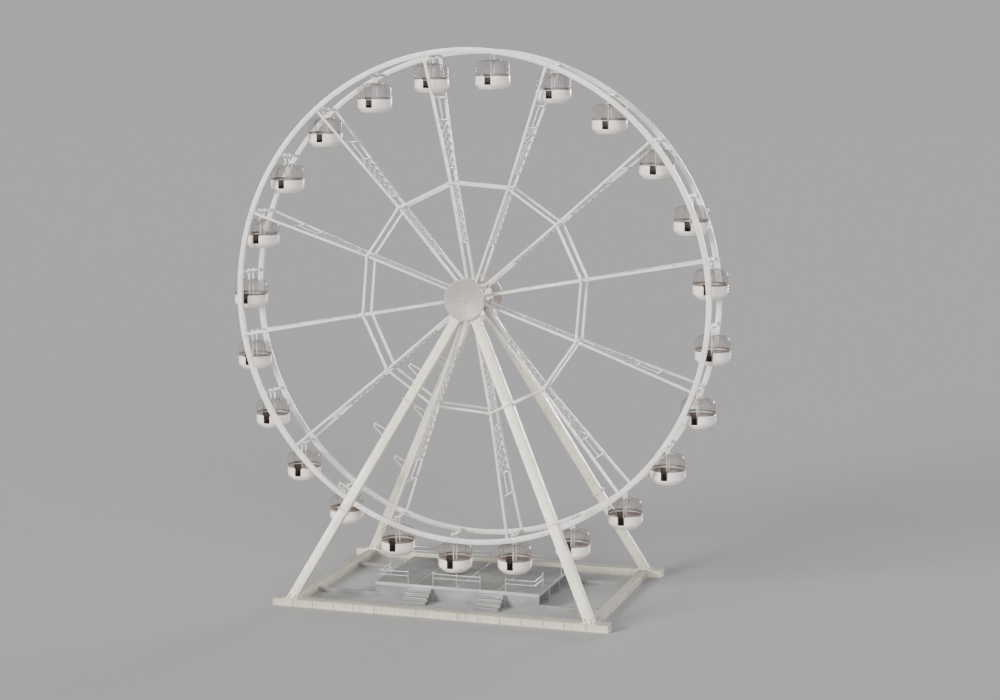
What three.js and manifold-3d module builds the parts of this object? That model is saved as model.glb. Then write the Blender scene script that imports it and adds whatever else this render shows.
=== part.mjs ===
// A transportable fairground wheel: two rims on twelve lattice spokes, turning on a shaft
// between two A-frames, with round cabins that hang level from cross beams between the rims.
// Units are millimetres, +Z is up, the shaft lies along Y and the boarding side faces -Y.

import * as THREE from "three";
import { mergeVertices } from "three/addons/utils/BufferGeometryUtils.js";
import Module from "manifold-3d";

const wasm = await Module();
wasm.setup();

// Clearances
const SEAT_GAP = 0.3;
const PIN_GAP = 0.3;

// Wheel
const HUB_HEIGHT = 18200;
const REST_ANGLE = THREE.MathUtils.degToRad(10.25);
const RIM_RADIUS = 15000;
const RIM_DEPTH = 320;
const RIM_WIDTH = 200;
const RIM_SPACING = 3000;
const RIM_SEGMENTS = 3;
const FACET = THREE.MathUtils.degToRad(5);
const CABINS = 24;
const CABIN_PITCH = (2 * Math.PI) / CABINS;
const BEAM_RADIUS = 80;
const BEAM_SIDES = 8;
const RIM_FLAT_OUT = RIM_RADIUS * Math.cos(FACET / 2);
const RIM_FLAT_IN = (RIM_RADIUS - RIM_DEPTH) * Math.cos(FACET / 2);
const PIVOT_RADIUS = (RIM_FLAT_OUT + RIM_FLAT_IN) / 2;

// Spokes: flat lattice girders in the plane of the shaft
const SPOKES = 12;
const SPOKE_PITCH = (2 * Math.PI) / SPOKES;
const CHORD = 140;
const STRUT = 100;
const DIAGONAL = 90;
const HUB_CHORD_Y = 600;
const RIM_CHORD_Y = 1480;
const KINK_RADIUS = 7300;
const INNER_STRUT = 3400;
const TIE_STRUT = 7050;
const JOINT_STRUT = 7950;
const RAIL_STRUT = 10900;
const OUTER_STRUT = 12250;
const INNER_BAYS = 4;
const OUTER_BAYS = 3;

// Tie rings
const TIE_RADIUS = 7070;
const TIE_DEPTH = 150;
const TIE_WIDTH = 100;

// Hub, shaft, bearings and covers
const HUB_FLAT = 1000;
const HUB_LENGTH = 1440;
const SHAFT_RADIUS = 250;
const SHAFT_LENGTH = 3000;
const SHAFT_SIDES = 24;
const HOUSING_INNER_Y = 860;
const HOUSING_DEPTH = 800;
const HOUSING_BOTTOM = 1300;
const HOUSING_HALF_WIDTH = 1000;
const HOUSING_SHOULDER = 900;
const HOUSING_NECK = 620;
const HOUSING_NECK_Z = 200;
const HOUSING_TOP = 560;
const HOUSING_TOP_HALF = 350;
const COVER_RADIUS = 1270;
const COVER_DEPTH = 160;
const COVER_SIDES = 36;

// Legs and their brackets
const LEG_SLOPE_X = 0.521;
const LEG_SLOPE_Y = 0.326;
const LEG_TOP_Y = 967;
const LEG_SIZE_X = 620;
const LEG_SIZE_Y = 500;
const BRACKET_DROPS = [4350, 7900, 11450];
const BRACKET_REACH = 1250;
const BRACKET_HEIGHT = 620;
const BRACKET_TIP = 240;
const BRACKET_BAR = 80;
const BRACKET_THICKNESS = 70;

// Ground frame
const BASE_HEIGHT = 450;
const BASE_LENGTH = 20800;
const BASE_WIDTH = 800;
const SIDE_BEAM_WIDTH = 500;

// Cabins, measured down from the pivot
const TUB_RADIUS = 1060;
const TUB_BOTTOM_RADIUS = 780;
const TUB_TOP = 1400;
const TUB_KNEE = 1980;
const TUB_BOTTOM = 2280;
const TUB_WALL = 50;
const TUB_FLOOR = 60;
const TUB_SIDES = 12;
const DOOR_WIDTH = 450;
const DOOR_SILL = 2020;
const DOOR_INNER_Y = 500;
const CANOPY_TOP = 500;
const CROWN_RADIUS = 480;
const SHOULDER_DROP = 590;
const SHOULDER_RADIUS = 870;
const CANOPY_SIDE = 800;
const CANOPY_RADIUS = 1045;
const CANOPY_WALL = 30;
const CANOPY_SEAT = 20;
const CANOPY_DOOR_WIDTH = 540;
const CANOPY_DOOR_TOP = 720;
const HANGER_Y = 300;
const HANGER_RADIUS = 50;
const HANGER_SIDES = 6;
const SLEEVE_RADIUS = 160;
const SLEEVE_LENGTH = 720;

// Boarding deck, stairs and rails
const DECK_LENGTH = 10400;
const DECK_DEPTH = 6800;
const DECK_TOP = 950;
const DECK_SLAB = 170;
const BEARER_WIDTH = 150;
const BEARER_ROWS = 4;
const TIE_HEIGHT = 300;
const STAIR_CENTRE = 2300;
const STAIR_WIDTH = 1500;
const STAIR_STEPS = 4;
const STAIR_TREAD = 300;
const RAIL_BAR = 50;
const RAIL_HEIGHT = 1000;
const RAIL_MIDDLE = 500;
const RAIL_INSET = 50;
const RAIL_OPENING = 3200;
const POST_SPACING = 1700;

const paint = (color, roughness, metalness) =>
  new THREE.MeshStandardMaterial({ color, roughness, metalness });
const rimPaint = paint(0xcfc9c0, 0.45, 0.1);
const spokePaint = paint(0xc6c0b8, 0.45, 0.1);
const legPaint = paint(0xd8cdb4, 0.5, 0.1);
const hubPaint = paint(0x9a9089, 0.5, 0.1);
const cabinPaint = paint(0xe6d9cf, 0.35, 0.0);
const basePaint = paint(0xb9b2a4, 0.6, 0.2);
const deckPlate = paint(0x8d8f90, 0.55, 0.6);
const railPaint = paint(0xb8bcc0, 0.4, 0.5);

// Joins and cuts

function solid(geometry) {
  const bare = geometry.index ? geometry.toNonIndexed() : geometry.clone();
  bare.deleteAttribute("normal");
  bare.deleteAttribute("uv");
  const merged = mergeVertices(bare, 1e-3);
  return new wasm.Manifold(
    new wasm.Mesh({
      numProp: 3,
      vertProperties: merged.attributes.position.array,
      triVerts: new Uint32Array(merged.index.array),
    }),
  );
}

function surface(body) {
  const { numProp, vertProperties, triVerts } = body.getMesh();
  const geometry = new THREE.BufferGeometry();
  const points = new THREE.BufferAttribute(vertProperties, numProp);
  geometry.setAttribute("position", points);
  geometry.setIndex(new THREE.BufferAttribute(triVerts, 1));
  return geometry;
}

const join = (pieces) => surface(pieces.map(solid).reduce((whole, piece) => whole.add(piece)));

const cut = (piece, ...tools) =>
  surface(tools.map(solid).reduce((rest, tool) => rest.subtract(tool), solid(piece)));

// Plain shapes

const box = (x0, x1, y0, y1, z0, z1) =>
  new THREE.BoxGeometry(x1 - x0, y1 - y0, z1 - z0).translate(
    (x0 + x1) / 2,
    (y0 + y1) / 2,
    (z0 + z1) / 2,
  );

const flatShape = (points) => new THREE.Shape(points.map(([x, y]) => new THREE.Vector2(x, y)));

const flatHole = (points) => new THREE.Path(points.map(([x, y]) => new THREE.Vector2(x, y)));

// A ring of points round the origin, the first of them at the given angle.
const ringOfPoints = (radius, sides, start = 0) =>
  Array.from({ length: sides }, (_, i) => {
    const angle = start + (2 * Math.PI * i) / sides;
    return [radius * Math.cos(angle), radius * Math.sin(angle)];
  });

// An outline drawn in X and Z, as seen from the front, made thick from y0 to y1.
function upright(shape, y0, y1) {
  const geometry = new THREE.ExtrudeGeometry(shape, { depth: y1 - y0, bevelEnabled: false });
  return geometry.rotateX(Math.PI / 2).translate(0, y1, 0);
}

// Moves each edge of a closed outline inwards by its own distance.
function inset(points, distances) {
  const count = points.length;
  const edges = points.map(([x, y], i) => {
    const [nextX, nextY] = points[(i + 1) % count];
    const length = Math.hypot(nextX - x, nextY - y);
    const along = [(nextX - x) / length, (nextY - y) / length];
    const start = [x - along[1] * distances[i], y + along[0] * distances[i]];
    return { start, along };
  });
  return edges.map((edge, i) => {
    const before = edges[(i + count - 1) % count];
    const cross = before.along[0] * edge.along[1] - before.along[1] * edge.along[0];
    const apart = [edge.start[0] - before.start[0], edge.start[1] - before.start[1]];
    const reach = (apart[0] * edge.along[1] - apart[1] * edge.along[0]) / cross;
    return [before.start[0] + before.along[0] * reach, before.start[1] + before.along[1] * reach];
  });
}

// Groups: the wheel's frame has the shaft at its origin, and the first spoke along +X.

const model = new THREE.Group();
const wheel = new THREE.Group();
wheel.position.z = HUB_HEIGHT;
wheel.rotation.y = -REST_ANGLE;
model.add(wheel);

function addPiece(group, name, geometry, material) {
  const mesh = new THREE.Mesh(geometry, material);
  mesh.name = name;
  group.add(mesh);
  return mesh;
}

const numbered = (name, index) => name + "_" + String(index + 1).padStart(2, "0");

// Spokes, drawn with the radius along X and the shaft's direction along Y

const SPOKE_INNER = HUB_FLAT + SEAT_GAP;
const SPOKE_OUTER = RIM_FLAT_IN - SEAT_GAP;

// The chord's middle line, seen from the wheel's middle plane.
function chordY(radius) {
  const share = Math.max(0, (radius - KINK_RADIUS) / (SPOKE_OUTER - KINK_RADIUS));
  return HUB_CHORD_Y + share * (RIM_CHORD_Y - HUB_CHORD_Y);
}

function spokeOutline() {
  const inside = (r) => [r, chordY(r) - CHORD / 2];
  const outside = (r) => [r, chordY(r) + CHORD / 2];
  const half = [
    inside(OUTER_STRUT + STRUT / 2),
    inside(SPOKE_OUTER),
    outside(SPOKE_OUTER),
    outside(KINK_RADIUS),
    outside(SPOKE_INNER),
    inside(SPOKE_INNER),
    inside(INNER_STRUT - STRUT / 2),
  ];
  return [...half, ...half.map(([r, y]) => [r, -y]).reverse()];
}

const node = (radius, side) => [radius, side * chordY(radius)];

// Turns the outline counter-clockwise, so that its inside lies to the left of each edge.
function leftHanded(points, widths) {
  const turns = points.map(([x, y], i) => {
    const [nextX, nextY] = points[(i + 1) % points.length];
    return x * nextY - nextX * y;
  });
  const area = turns.reduce((sum, turn) => sum + turn, 0);
  if (area > 0) return inset(points, widths);
  const last = widths.length - 1;
  const reversed = widths.map((_, i) => widths[(2 * last - i) % widths.length]);
  return inset(points.slice().reverse(), reversed);
}

// The triangular gaps of a zigzag web between two struts.
function zigzagGaps(from, to, bays) {
  const step = (to - from) / bays;
  const side = (i) => (i % 2 ? 1 : -1);
  const at = (i, way = side(i)) => node(from + i * step, way);
  const gaps = [
    leftHanded([at(0), at(0, 1), at(1)], [STRUT / 2, CHORD / 2, DIAGONAL / 2]),
    leftHanded(
      [at(bays - 1), at(bays), at(bays, -side(bays))],
      [DIAGONAL / 2, STRUT / 2, CHORD / 2],
    ),
  ];
  for (let i = 1; i < bays; i += 1) {
    const widths = [DIAGONAL / 2, DIAGONAL / 2, CHORD / 2];
    gaps.push(leftHanded([at(i - 1), at(i), at(i + 1)], widths));
  }
  return gaps;
}

// The open bay at the girder's joint, where the chords start to spread.
function jointGap() {
  const stations = [TIE_STRUT, KINK_RADIUS, JOINT_STRUT];
  const points = [
    ...stations.map((r) => node(r, -1)),
    ...stations.slice().reverse().map((r) => node(r, 1)),
  ];
  return leftHanded(points, [CHORD, CHORD, STRUT, CHORD, CHORD, STRUT].map((w) => w / 2));
}

// The two gaps beside the middle rail of the last bay.
function railGaps() {
  return [-1, 1].map((side) =>
    leftHanded(
      [[RAIL_STRUT, 0], node(RAIL_STRUT, side), node(OUTER_STRUT, side), [OUTER_STRUT, 0]],
      [STRUT / 2, CHORD / 2, STRUT / 2, DIAGONAL / 2],
    ),
  );
}

// A plate of the given outline, centred on the wheel's radial plane.
function plate(points, depth) {
  const geometry = new THREE.ExtrudeGeometry(flatShape(points), { depth, bevelEnabled: false });
  return geometry.translate(0, 0, -depth / 2);
}

function spokeGeometry() {
  const gaps = [
    ...zigzagGaps(INNER_STRUT, TIE_STRUT, INNER_BAYS),
    jointGap(),
    ...zigzagGaps(JOINT_STRUT, RAIL_STRUT, OUTER_BAYS),
    ...railGaps(),
  ];
  return cut(plate(spokeOutline(), CHORD), ...gaps.map((gap) => plate(gap, 2 * CHORD)));
}

for (let i = 0; i < SPOKES; i += 1) {
  const spoke = addPiece(wheel, numbered("spoke", i), spokeGeometry(), spokePaint);
  spoke.rotation.y = -i * SPOKE_PITCH;
}

// Rims: each segment holds its part of both rims and the cabins' cross beams between them

function rimArc(from, to, middleY) {
  const facets = Math.round((to - from) / FACET);
  const angles = Array.from({ length: facets + 1 }, (_, i) => from + (i / facets) * (to - from));
  const arc = (radius) => angles.map((a) => [radius * Math.cos(a), radius * Math.sin(a)]);
  const outline = [...arc(RIM_RADIUS), ...arc(RIM_RADIUS - RIM_DEPTH).reverse()];
  return upright(flatShape(outline), middleY - RIM_WIDTH / 2, middleY + RIM_WIDTH / 2);
}

// A cabin's beam, turned about its own axis so that its flats lie as the cabin's bore does.
function crossBeam(angle) {
  const beam = new THREE.CylinderGeometry(BEAM_RADIUS, BEAM_RADIUS, RIM_SPACING, BEAM_SIDES);
  beam.rotateY(REST_ANGLE + angle + Math.PI / BEAM_SIDES);
  return beam.translate(PIVOT_RADIUS, 0, 0).rotateY(-angle);
}

function rimSegment(index) {
  const beams = CABINS / RIM_SEGMENTS;
  const first = index * beams;
  const endGap = SEAT_GAP / 2 / RIM_RADIUS;
  const from = (first - 0.5) * CABIN_PITCH + endGap;
  const to = (first + beams - 0.5) * CABIN_PITCH - endGap;
  const pieces = [-1, 1].map((side) => rimArc(from, to, (side * RIM_SPACING) / 2));
  for (let i = first; i < first + beams; i += 1) pieces.push(crossBeam(i * CABIN_PITCH));
  return join(pieces);
}

for (let i = 0; i < RIM_SEGMENTS; i += 1) {
  addPiece(wheel, numbered("rim_segment", i), rimSegment(i), rimPaint);
}

// Tie rings, bolted to the outer faces of the spokes' chords

for (const [name, side] of [["tie_ring_front", -1], ["tie_ring_rear", 1]]) {
  const shape = flatShape(ringOfPoints(TIE_RADIUS + TIE_DEPTH / 2, SPOKES));
  shape.holes = [flatHole(ringOfPoints(TIE_RADIUS - TIE_DEPTH / 2, SPOKES))];
  const inner = HUB_CHORD_Y + CHORD / 2 + SEAT_GAP;
  const ends = [side * inner, side * (inner + TIE_WIDTH)].sort((a, b) => a - b);
  addPiece(wheel, name, upright(shape, ends[0], ends[1]), spokePaint);
}

// Hub with its shaft

function hubGeometry() {
  const corner = HUB_FLAT / Math.cos(SPOKE_PITCH / 2);
  const drum = new THREE.CylinderGeometry(corner, corner, HUB_LENGTH, SPOKES);
  drum.rotateY(SPOKE_PITCH / 2);
  const shaft = new THREE.CylinderGeometry(SHAFT_RADIUS, SHAFT_RADIUS, SHAFT_LENGTH, SHAFT_SIDES);
  return join([drum, shaft]);
}

addPiece(wheel, "hub", hubGeometry(), hubPaint);

// Bearing housings and their round covers

function housingShape() {
  const half = [
    [HOUSING_HALF_WIDTH, -HOUSING_BOTTOM],
    [HOUSING_HALF_WIDTH, -HOUSING_SHOULDER],
    [HOUSING_NECK, HOUSING_NECK_Z],
    [HOUSING_TOP_HALF, HOUSING_TOP],
  ];
  const shape = flatShape([...half, ...half.map(([x, z]) => [-x, z]).reverse()]);
  const boreCorner = (SHAFT_RADIUS + PIN_GAP) / Math.cos(Math.PI / SHAFT_SIDES);
  shape.holes = [flatHole(ringOfPoints(boreCorner, SHAFT_SIDES))];
  return shape;
}

function addHousing(place, side) {
  const ends = [side * HOUSING_INNER_Y, side * (HOUSING_INNER_Y + HOUSING_DEPTH)];
  const [low, high] = ends.sort((a, b) => a - b);
  const housing = upright(housingShape(), low, high).translate(0, 0, HUB_HEIGHT);
  addPiece(model, "bearing_" + place, housing, legPaint);
  const cover = new THREE.CylinderGeometry(COVER_RADIUS, COVER_RADIUS, COVER_DEPTH, COVER_SIDES);
  const coverY = HOUSING_INNER_Y + HOUSING_DEPTH + SEAT_GAP + COVER_DEPTH / 2;
  cover.translate(0, side * coverY, HUB_HEIGHT);
  addPiece(model, "hub_cover_" + place, cover, hubPaint);
}

addHousing("front", -1);
addHousing("rear", 1);

// Legs: straight box columns with level ends, leaning in towards the shaft from both ways

const LEG_TOP_DROP = HOUSING_BOTTOM + SEAT_GAP;
const LEG_FOOT_DROP = HUB_HEIGHT - BASE_HEIGHT - SEAT_GAP;
const legX = (drop) => LEG_SLOPE_X * drop;
const legY = (drop) => LEG_TOP_Y + LEG_SLOPE_Y * drop;

// A leg on the +X, +Y side of the shaft, in the shaft's frame.
function legGeometry() {
  const height = LEG_FOOT_DROP - LEG_TOP_DROP;
  const middle = (LEG_FOOT_DROP + LEG_TOP_DROP) / 2;
  const column = new THREE.BoxGeometry(LEG_SIZE_X, LEG_SIZE_Y, height);
  const lean = new THREE.Matrix4().makeShear(0, 0, 0, 0, -LEG_SLOPE_X, -LEG_SLOPE_Y);
  return column.applyMatrix4(lean).translate(legX(middle), legY(middle), -middle);
}

// A small loop on a left leg: one bar square to the leg, a blunt tip and a stay under it.
function bracketGeometry(drop) {
  const slant = Math.hypot(1, LEG_SLOPE_X);
  const down = [-LEG_SLOPE_X / slant, -1 / slant];
  const out = [down[1], -down[0]];
  const root = [-legX(drop), -drop];
  const tip = [root[0] + BRACKET_REACH * out[0], root[1] + BRACKET_REACH * out[1]];
  const below = (point, step) => [point[0] + step * down[0], point[1] + step * down[1]];
  const outline = [root, tip, below(tip, BRACKET_TIP), below(root, BRACKET_HEIGHT)];
  const shape = flatShape(outline);
  shape.holes = [flatHole(leftHanded(outline, outline.map(() => BRACKET_BAR)))];
  const halfThickness = BRACKET_THICKNESS / 2;
  return upright(shape, legY(drop) - halfThickness, legY(drop) + halfThickness);
}

function addLeg(name, sideX, sideY) {
  const column = legGeometry();
  if (sideX < 0) column.applyMatrix4(new THREE.Matrix4().makeRotationZ(Math.PI)).scale(1, -1, 1);
  const pieces = [flipped(column, sideX < 0)];
  if (sideX < 0) pieces.push(...BRACKET_DROPS.map(bracketGeometry));
  const leg = pieces.length > 1 ? join(pieces) : pieces[0];
  if (sideY < 0) leg.scale(1, -1, 1);
  addPiece(model, name, flipped(leg, sideY < 0).translate(0, 0, HUB_HEIGHT), legPaint);
}

// Turns each face round after the geometry has been mirrored, so that it faces out again.
function flipped(geometry, mirrored) {
  if (!mirrored) return geometry;
  const plain = geometry.index ? geometry : mergeVertices(geometry);
  const order = plain.index.array;
  for (let i = 0; i < order.length; i += 3) [order[i], order[i + 1]] = [order[i + 1], order[i]];
  return plain;
}

addLeg("leg_front_left", -1, -1);
addLeg("leg_front_right", 1, -1);
addLeg("leg_rear_left", -1, 1);
addLeg("leg_rear_right", 1, 1);

// Ground frame: two long beams under the feet, and two beams that tie them

const FOOT_X = legX(LEG_FOOT_DROP);
const FOOT_Y = legY(LEG_FOOT_DROP);

for (const [name, side] of [["ground_beam_front", -1], ["ground_beam_rear", 1]]) {
  const middle = side * FOOT_Y;
  const beam = box(
    -BASE_LENGTH / 2,
    BASE_LENGTH / 2,
    middle - BASE_WIDTH / 2,
    middle + BASE_WIDTH / 2,
    0,
    BASE_HEIGHT,
  );
  addPiece(model, name, beam, basePaint);
}

for (const [name, side] of [["ground_beam_left", -1], ["ground_beam_right", 1]]) {
  const reach = FOOT_Y - BASE_WIDTH / 2 - SEAT_GAP;
  const middle = side * FOOT_X;
  const half = SIDE_BEAM_WIDTH / 2;
  const beam = box(middle - half, middle + half, -reach, reach, 0, BASE_HEIGHT);
  addPiece(model, name, beam, basePaint);
}

// Cabins: sleeve, two hanger tubes, canopy and tub in one body, drawn with the pivot at the origin

function turned(profile, sides) {
  const points = profile.map(([radius, drop]) => new THREE.Vector2(radius, -drop));
  return new THREE.LatheGeometry(points, sides).rotateX(Math.PI / 2);
}

function tubGeometry() {
  const inner = TUB_RADIUS - TUB_WALL;
  const profile = [
    [0, TUB_BOTTOM],
    [TUB_BOTTOM_RADIUS, TUB_BOTTOM],
    [TUB_RADIUS, TUB_KNEE],
    [TUB_RADIUS, TUB_TOP],
    [inner, TUB_TOP],
    [inner, TUB_KNEE],
    [TUB_BOTTOM_RADIUS - TUB_WALL, TUB_BOTTOM - TUB_FLOOR],
    [0, TUB_BOTTOM - TUB_FLOOR],
  ];
  return cut(turned(profile, TUB_SIDES), doorway(DOOR_WIDTH, DOOR_SILL, TUB_TOP - TUB_WALL));
}

// A box through the front wall, between two drops below the pivot.
function doorway(width, sill, head) {
  const front = -TUB_RADIUS - TUB_WALL;
  return box(-width / 2, width / 2, front, -DOOR_INNER_Y, -sill, -head);
}

// A bell-shaped shell that stands in the rim of the tub.
function canopyGeometry() {
  const foot = TUB_TOP + CANOPY_SEAT;
  const outer = [
    [CANOPY_RADIUS, foot],
    [CANOPY_RADIUS, CANOPY_SIDE],
    [SHOULDER_RADIUS, SHOULDER_DROP],
    [CROWN_RADIUS, CANOPY_TOP],
    [0, CANOPY_TOP],
  ];
  const inner = [
    [0, CANOPY_TOP + CANOPY_WALL],
    [CROWN_RADIUS - CANOPY_WALL, CANOPY_TOP + CANOPY_WALL],
    [SHOULDER_RADIUS - CANOPY_WALL, SHOULDER_DROP + CANOPY_WALL],
    [CANOPY_RADIUS - CANOPY_WALL, CANOPY_SIDE + CANOPY_WALL],
    [CANOPY_RADIUS - CANOPY_WALL, foot],
  ];
  const shell = turned([...inner, ...outer], TUB_SIDES);
  return cut(shell, doorway(CANOPY_DOOR_WIDTH, foot + CANOPY_WALL, CANOPY_DOOR_TOP));
}

// A tube from the middle of the sleeve's wall down to the middle of the tub's floor.
function hangerGeometry(side) {
  const top = (SLEEVE_RADIUS + BEAM_RADIUS) / 2;
  const length = TUB_BOTTOM - TUB_FLOOR / 2 - top;
  const tube = new THREE.CylinderGeometry(HANGER_RADIUS, HANGER_RADIUS, length, HANGER_SIDES);
  return tube.rotateX(Math.PI / 2).translate(0, side * HANGER_Y, -top - length / 2);
}

function sleeveBore() {
  const corner = (BEAM_RADIUS + PIN_GAP) / Math.cos(Math.PI / BEAM_SIDES);
  return new THREE.CylinderGeometry(corner, corner, 2 * SLEEVE_LENGTH, BEAM_SIDES);
}

function cabinGeometry() {
  const sleeve = new THREE.CylinderGeometry(
    SLEEVE_RADIUS,
    SLEEVE_RADIUS,
    SLEEVE_LENGTH,
    BEAM_SIDES,
  );
  const hangers = [hangerGeometry(-1), hangerGeometry(1)];
  const body = join([tubGeometry(), canopyGeometry(), ...hangers, sleeve]);
  return cut(body, sleeveBore());
}

for (let i = 0; i < CABINS; i += 1) {
  const angle = REST_ANGLE + i * CABIN_PITCH;
  const cabin = addPiece(model, numbered("cabin", i), cabinGeometry(), cabinPaint);
  cabin.position.x = PIVOT_RADIUS * Math.cos(angle);
  cabin.position.z = HUB_HEIGHT + PIVOT_RADIUS * Math.sin(angle);
}

// Boarding deck on bearers, the outermost of them running on to the side ground beams, with
// two solid flights of steps built onto its front

const DECK_FRONT = -DECK_DEPTH / 2;
const BUILT_IN = 50;

function deckGeometry() {
  const halfLength = DECK_LENGTH / 2;
  const under = DECK_TOP - DECK_SLAB;
  const tieReach = FOOT_X - SIDE_BEAM_WIDTH / 2 - SEAT_GAP;
  const slab = box(-halfLength, halfLength, DECK_FRONT, -DECK_FRONT, under, DECK_TOP);
  const pieces = [slab, stairGeometry(-STAIR_CENTRE), stairGeometry(STAIR_CENTRE)];
  for (let i = 0; i < BEARER_ROWS; i += 1) {
    const y = DECK_FRONT + (i / (BEARER_ROWS - 1)) * (DECK_DEPTH - BEARER_WIDTH);
    pieces.push(box(-halfLength, halfLength, y, y + BEARER_WIDTH, 0, under + BUILT_IN));
    const outermost = i === 0 || i === BEARER_ROWS - 1;
    if (outermost) pieces.push(box(-tieReach, tieReach, y, y + BEARER_WIDTH, 0, TIE_HEIGHT));
  }
  return join(pieces);
}

// A flight drawn with its length along X, then turned to climb towards the deck.
function stairGeometry(centreX) {
  const rise = DECK_TOP / (STAIR_STEPS + 1);
  const run = STAIR_STEPS * STAIR_TREAD;
  const outline = [[0, 0]];
  for (let i = 0; i < STAIR_STEPS; i += 1) {
    outline.push([i * STAIR_TREAD, (i + 1) * rise], [(i + 1) * STAIR_TREAD, (i + 1) * rise]);
  }
  outline[outline.length - 1][0] = run + BUILT_IN;
  outline.push([run + BUILT_IN, 0]);
  const flight = upright(flatShape(outline.reverse()), -STAIR_WIDTH / 2, STAIR_WIDTH / 2);
  return flight.rotateZ(Math.PI / 2).translate(centreX, DECK_FRONT - run, 0);
}

addPiece(model, "boarding_deck", deckGeometry(), deckPlate);

// Rails: square posts and two bars along a run of straight stretches on the deck. They leave
// both ends of the deck open where the cabins come down over it.

function railGeometry(corners) {
  const half = RAIL_BAR / 2;
  const floor = DECK_TOP + SEAT_GAP;
  const pieces = [];
  const post = (x, y) =>
    pieces.push(box(x - half, x + half, y - half, y + half, floor, DECK_TOP + RAIL_HEIGHT));
  corners.slice(1).forEach(([x1, y1], i) => {
    const [x0, y0] = corners[i];
    const bays = Math.max(1, Math.round(Math.hypot(x1 - x0, y1 - y0) / POST_SPACING));
    for (let j = i ? 1 : 0; j <= bays; j += 1) {
      post(x0 + ((x1 - x0) * j) / bays, y0 + ((y1 - y0) * j) / bays);
    }
    for (const top of [RAIL_MIDDLE, RAIL_HEIGHT]) {
      const high = DECK_TOP + top;
      const [left, right] = [Math.min(x0, x1) - half, Math.max(x0, x1) + half];
      const [near, far] = [Math.min(y0, y1) - half, Math.max(y0, y1) + half];
      pieces.push(box(left, right, near, far, high - RAIL_BAR, high));
    }
  });
  return join(pieces);
}

const RAIL_X = DECK_LENGTH / 2 - RAIL_INSET;
const RAIL_Y = DECK_DEPTH / 2 - RAIL_INSET;
const STAIR_OUTER = STAIR_CENTRE + STAIR_WIDTH / 2 + RAIL_INSET;
const STAIR_INNER = STAIR_CENTRE - STAIR_WIDTH / 2 - RAIL_INSET;

const railRuns = {
  rail_left: [
    [-STAIR_OUTER, -RAIL_Y],
    [-RAIL_X, -RAIL_Y],
    [-RAIL_X, -RAIL_OPENING / 2],
  ],
  rail_right: [
    [STAIR_OUTER, -RAIL_Y],
    [RAIL_X, -RAIL_Y],
    [RAIL_X, -RAIL_OPENING / 2],
  ],
  rail_front: [
    [-STAIR_INNER, -RAIL_Y],
    [STAIR_INNER, -RAIL_Y],
  ],
  rail_rear: [
    [-RAIL_X, RAIL_OPENING / 2],
    [-RAIL_X, RAIL_Y],
    [RAIL_X, RAIL_Y],
    [RAIL_X, RAIL_OPENING / 2],
  ],
};

for (const [name, corners] of Object.entries(railRuns)) {
  addPiece(model, name, railGeometry(corners), railPaint);
}

export default model;
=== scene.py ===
# %% [markdown]
# # A fairground wheel with round cabins
# The object is a transportable observation wheel, thirty metres across. Two rims turn on twelve
# lattice spokes between box legs, and round cabins hang from cross beams between the rims.
# The engineering model is loaded first, as a fixed frame. Everything made here goes on top of it, in
# the same place and the same metres, so nothing has to be fitted by eye.

# %% Load the frame and keep its size
import math

import bmesh
import bpy
from mathutils import Matrix, Vector


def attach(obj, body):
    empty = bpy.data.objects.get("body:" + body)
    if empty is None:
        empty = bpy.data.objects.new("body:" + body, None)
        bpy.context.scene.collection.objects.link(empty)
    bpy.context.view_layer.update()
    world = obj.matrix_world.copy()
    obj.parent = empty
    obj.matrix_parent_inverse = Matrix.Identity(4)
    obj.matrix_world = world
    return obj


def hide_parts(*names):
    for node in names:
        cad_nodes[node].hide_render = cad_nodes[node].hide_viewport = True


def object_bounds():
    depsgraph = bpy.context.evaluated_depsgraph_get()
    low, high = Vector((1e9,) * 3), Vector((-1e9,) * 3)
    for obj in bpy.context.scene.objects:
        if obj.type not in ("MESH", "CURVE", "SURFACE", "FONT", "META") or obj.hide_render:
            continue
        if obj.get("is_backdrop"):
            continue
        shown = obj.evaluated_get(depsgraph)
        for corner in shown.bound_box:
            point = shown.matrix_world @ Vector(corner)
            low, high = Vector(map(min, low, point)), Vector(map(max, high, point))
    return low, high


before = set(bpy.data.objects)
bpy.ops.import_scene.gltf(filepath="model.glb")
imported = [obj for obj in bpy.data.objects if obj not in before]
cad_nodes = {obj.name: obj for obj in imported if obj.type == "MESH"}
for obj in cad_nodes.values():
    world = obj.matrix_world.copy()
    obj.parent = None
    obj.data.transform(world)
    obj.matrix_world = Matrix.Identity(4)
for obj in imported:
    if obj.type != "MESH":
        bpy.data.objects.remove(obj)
cad_low, cad_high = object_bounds()
print("frame", len(cad_nodes), "nodes, size", [round(v, 2) for v in cad_high - cad_low])

# %% [markdown]
# ## The main sizes
# A few lengths place almost everything: the height of the shaft, the radii of the rims and of the
# cabins' beams, and the angle at which the wheel stands in the photograph. Writing them down once
# keeps every later cell short, and a change here moves all the pieces that depend on it.

# %% Main sizes, in metres
HUB_Z = 18.2
REST = math.radians(10.25)
SPOKES = 12
CABINS = 24
RIM_OUT = 14.9857
RIM_IN = 14.6660
RIM_WIDE = 0.20
RIM_Y = 1.5
PIVOT_R = (RIM_OUT + RIM_IN) / 2
SPOKE_IN = 1.0
SPOKE_OUT = RIM_IN
KINK_R = 7.3
HUB_CHORD_Y = 0.60
RIM_CHORD_Y = 1.48
CHORD = 0.14
X_SIDE = Vector((1, 0, 0))
Y_SIDE = Vector((0, 1, 0))
UP = Vector((0, 0, 1))


def wheel_turn(angle):
    """Turns a piece drawn with its radius along X to its own angle round the shaft."""
    return Matrix.Translation((0, 0, HUB_Z)) @ Matrix.Rotation(-(REST + angle), 4, "Y")


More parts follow.
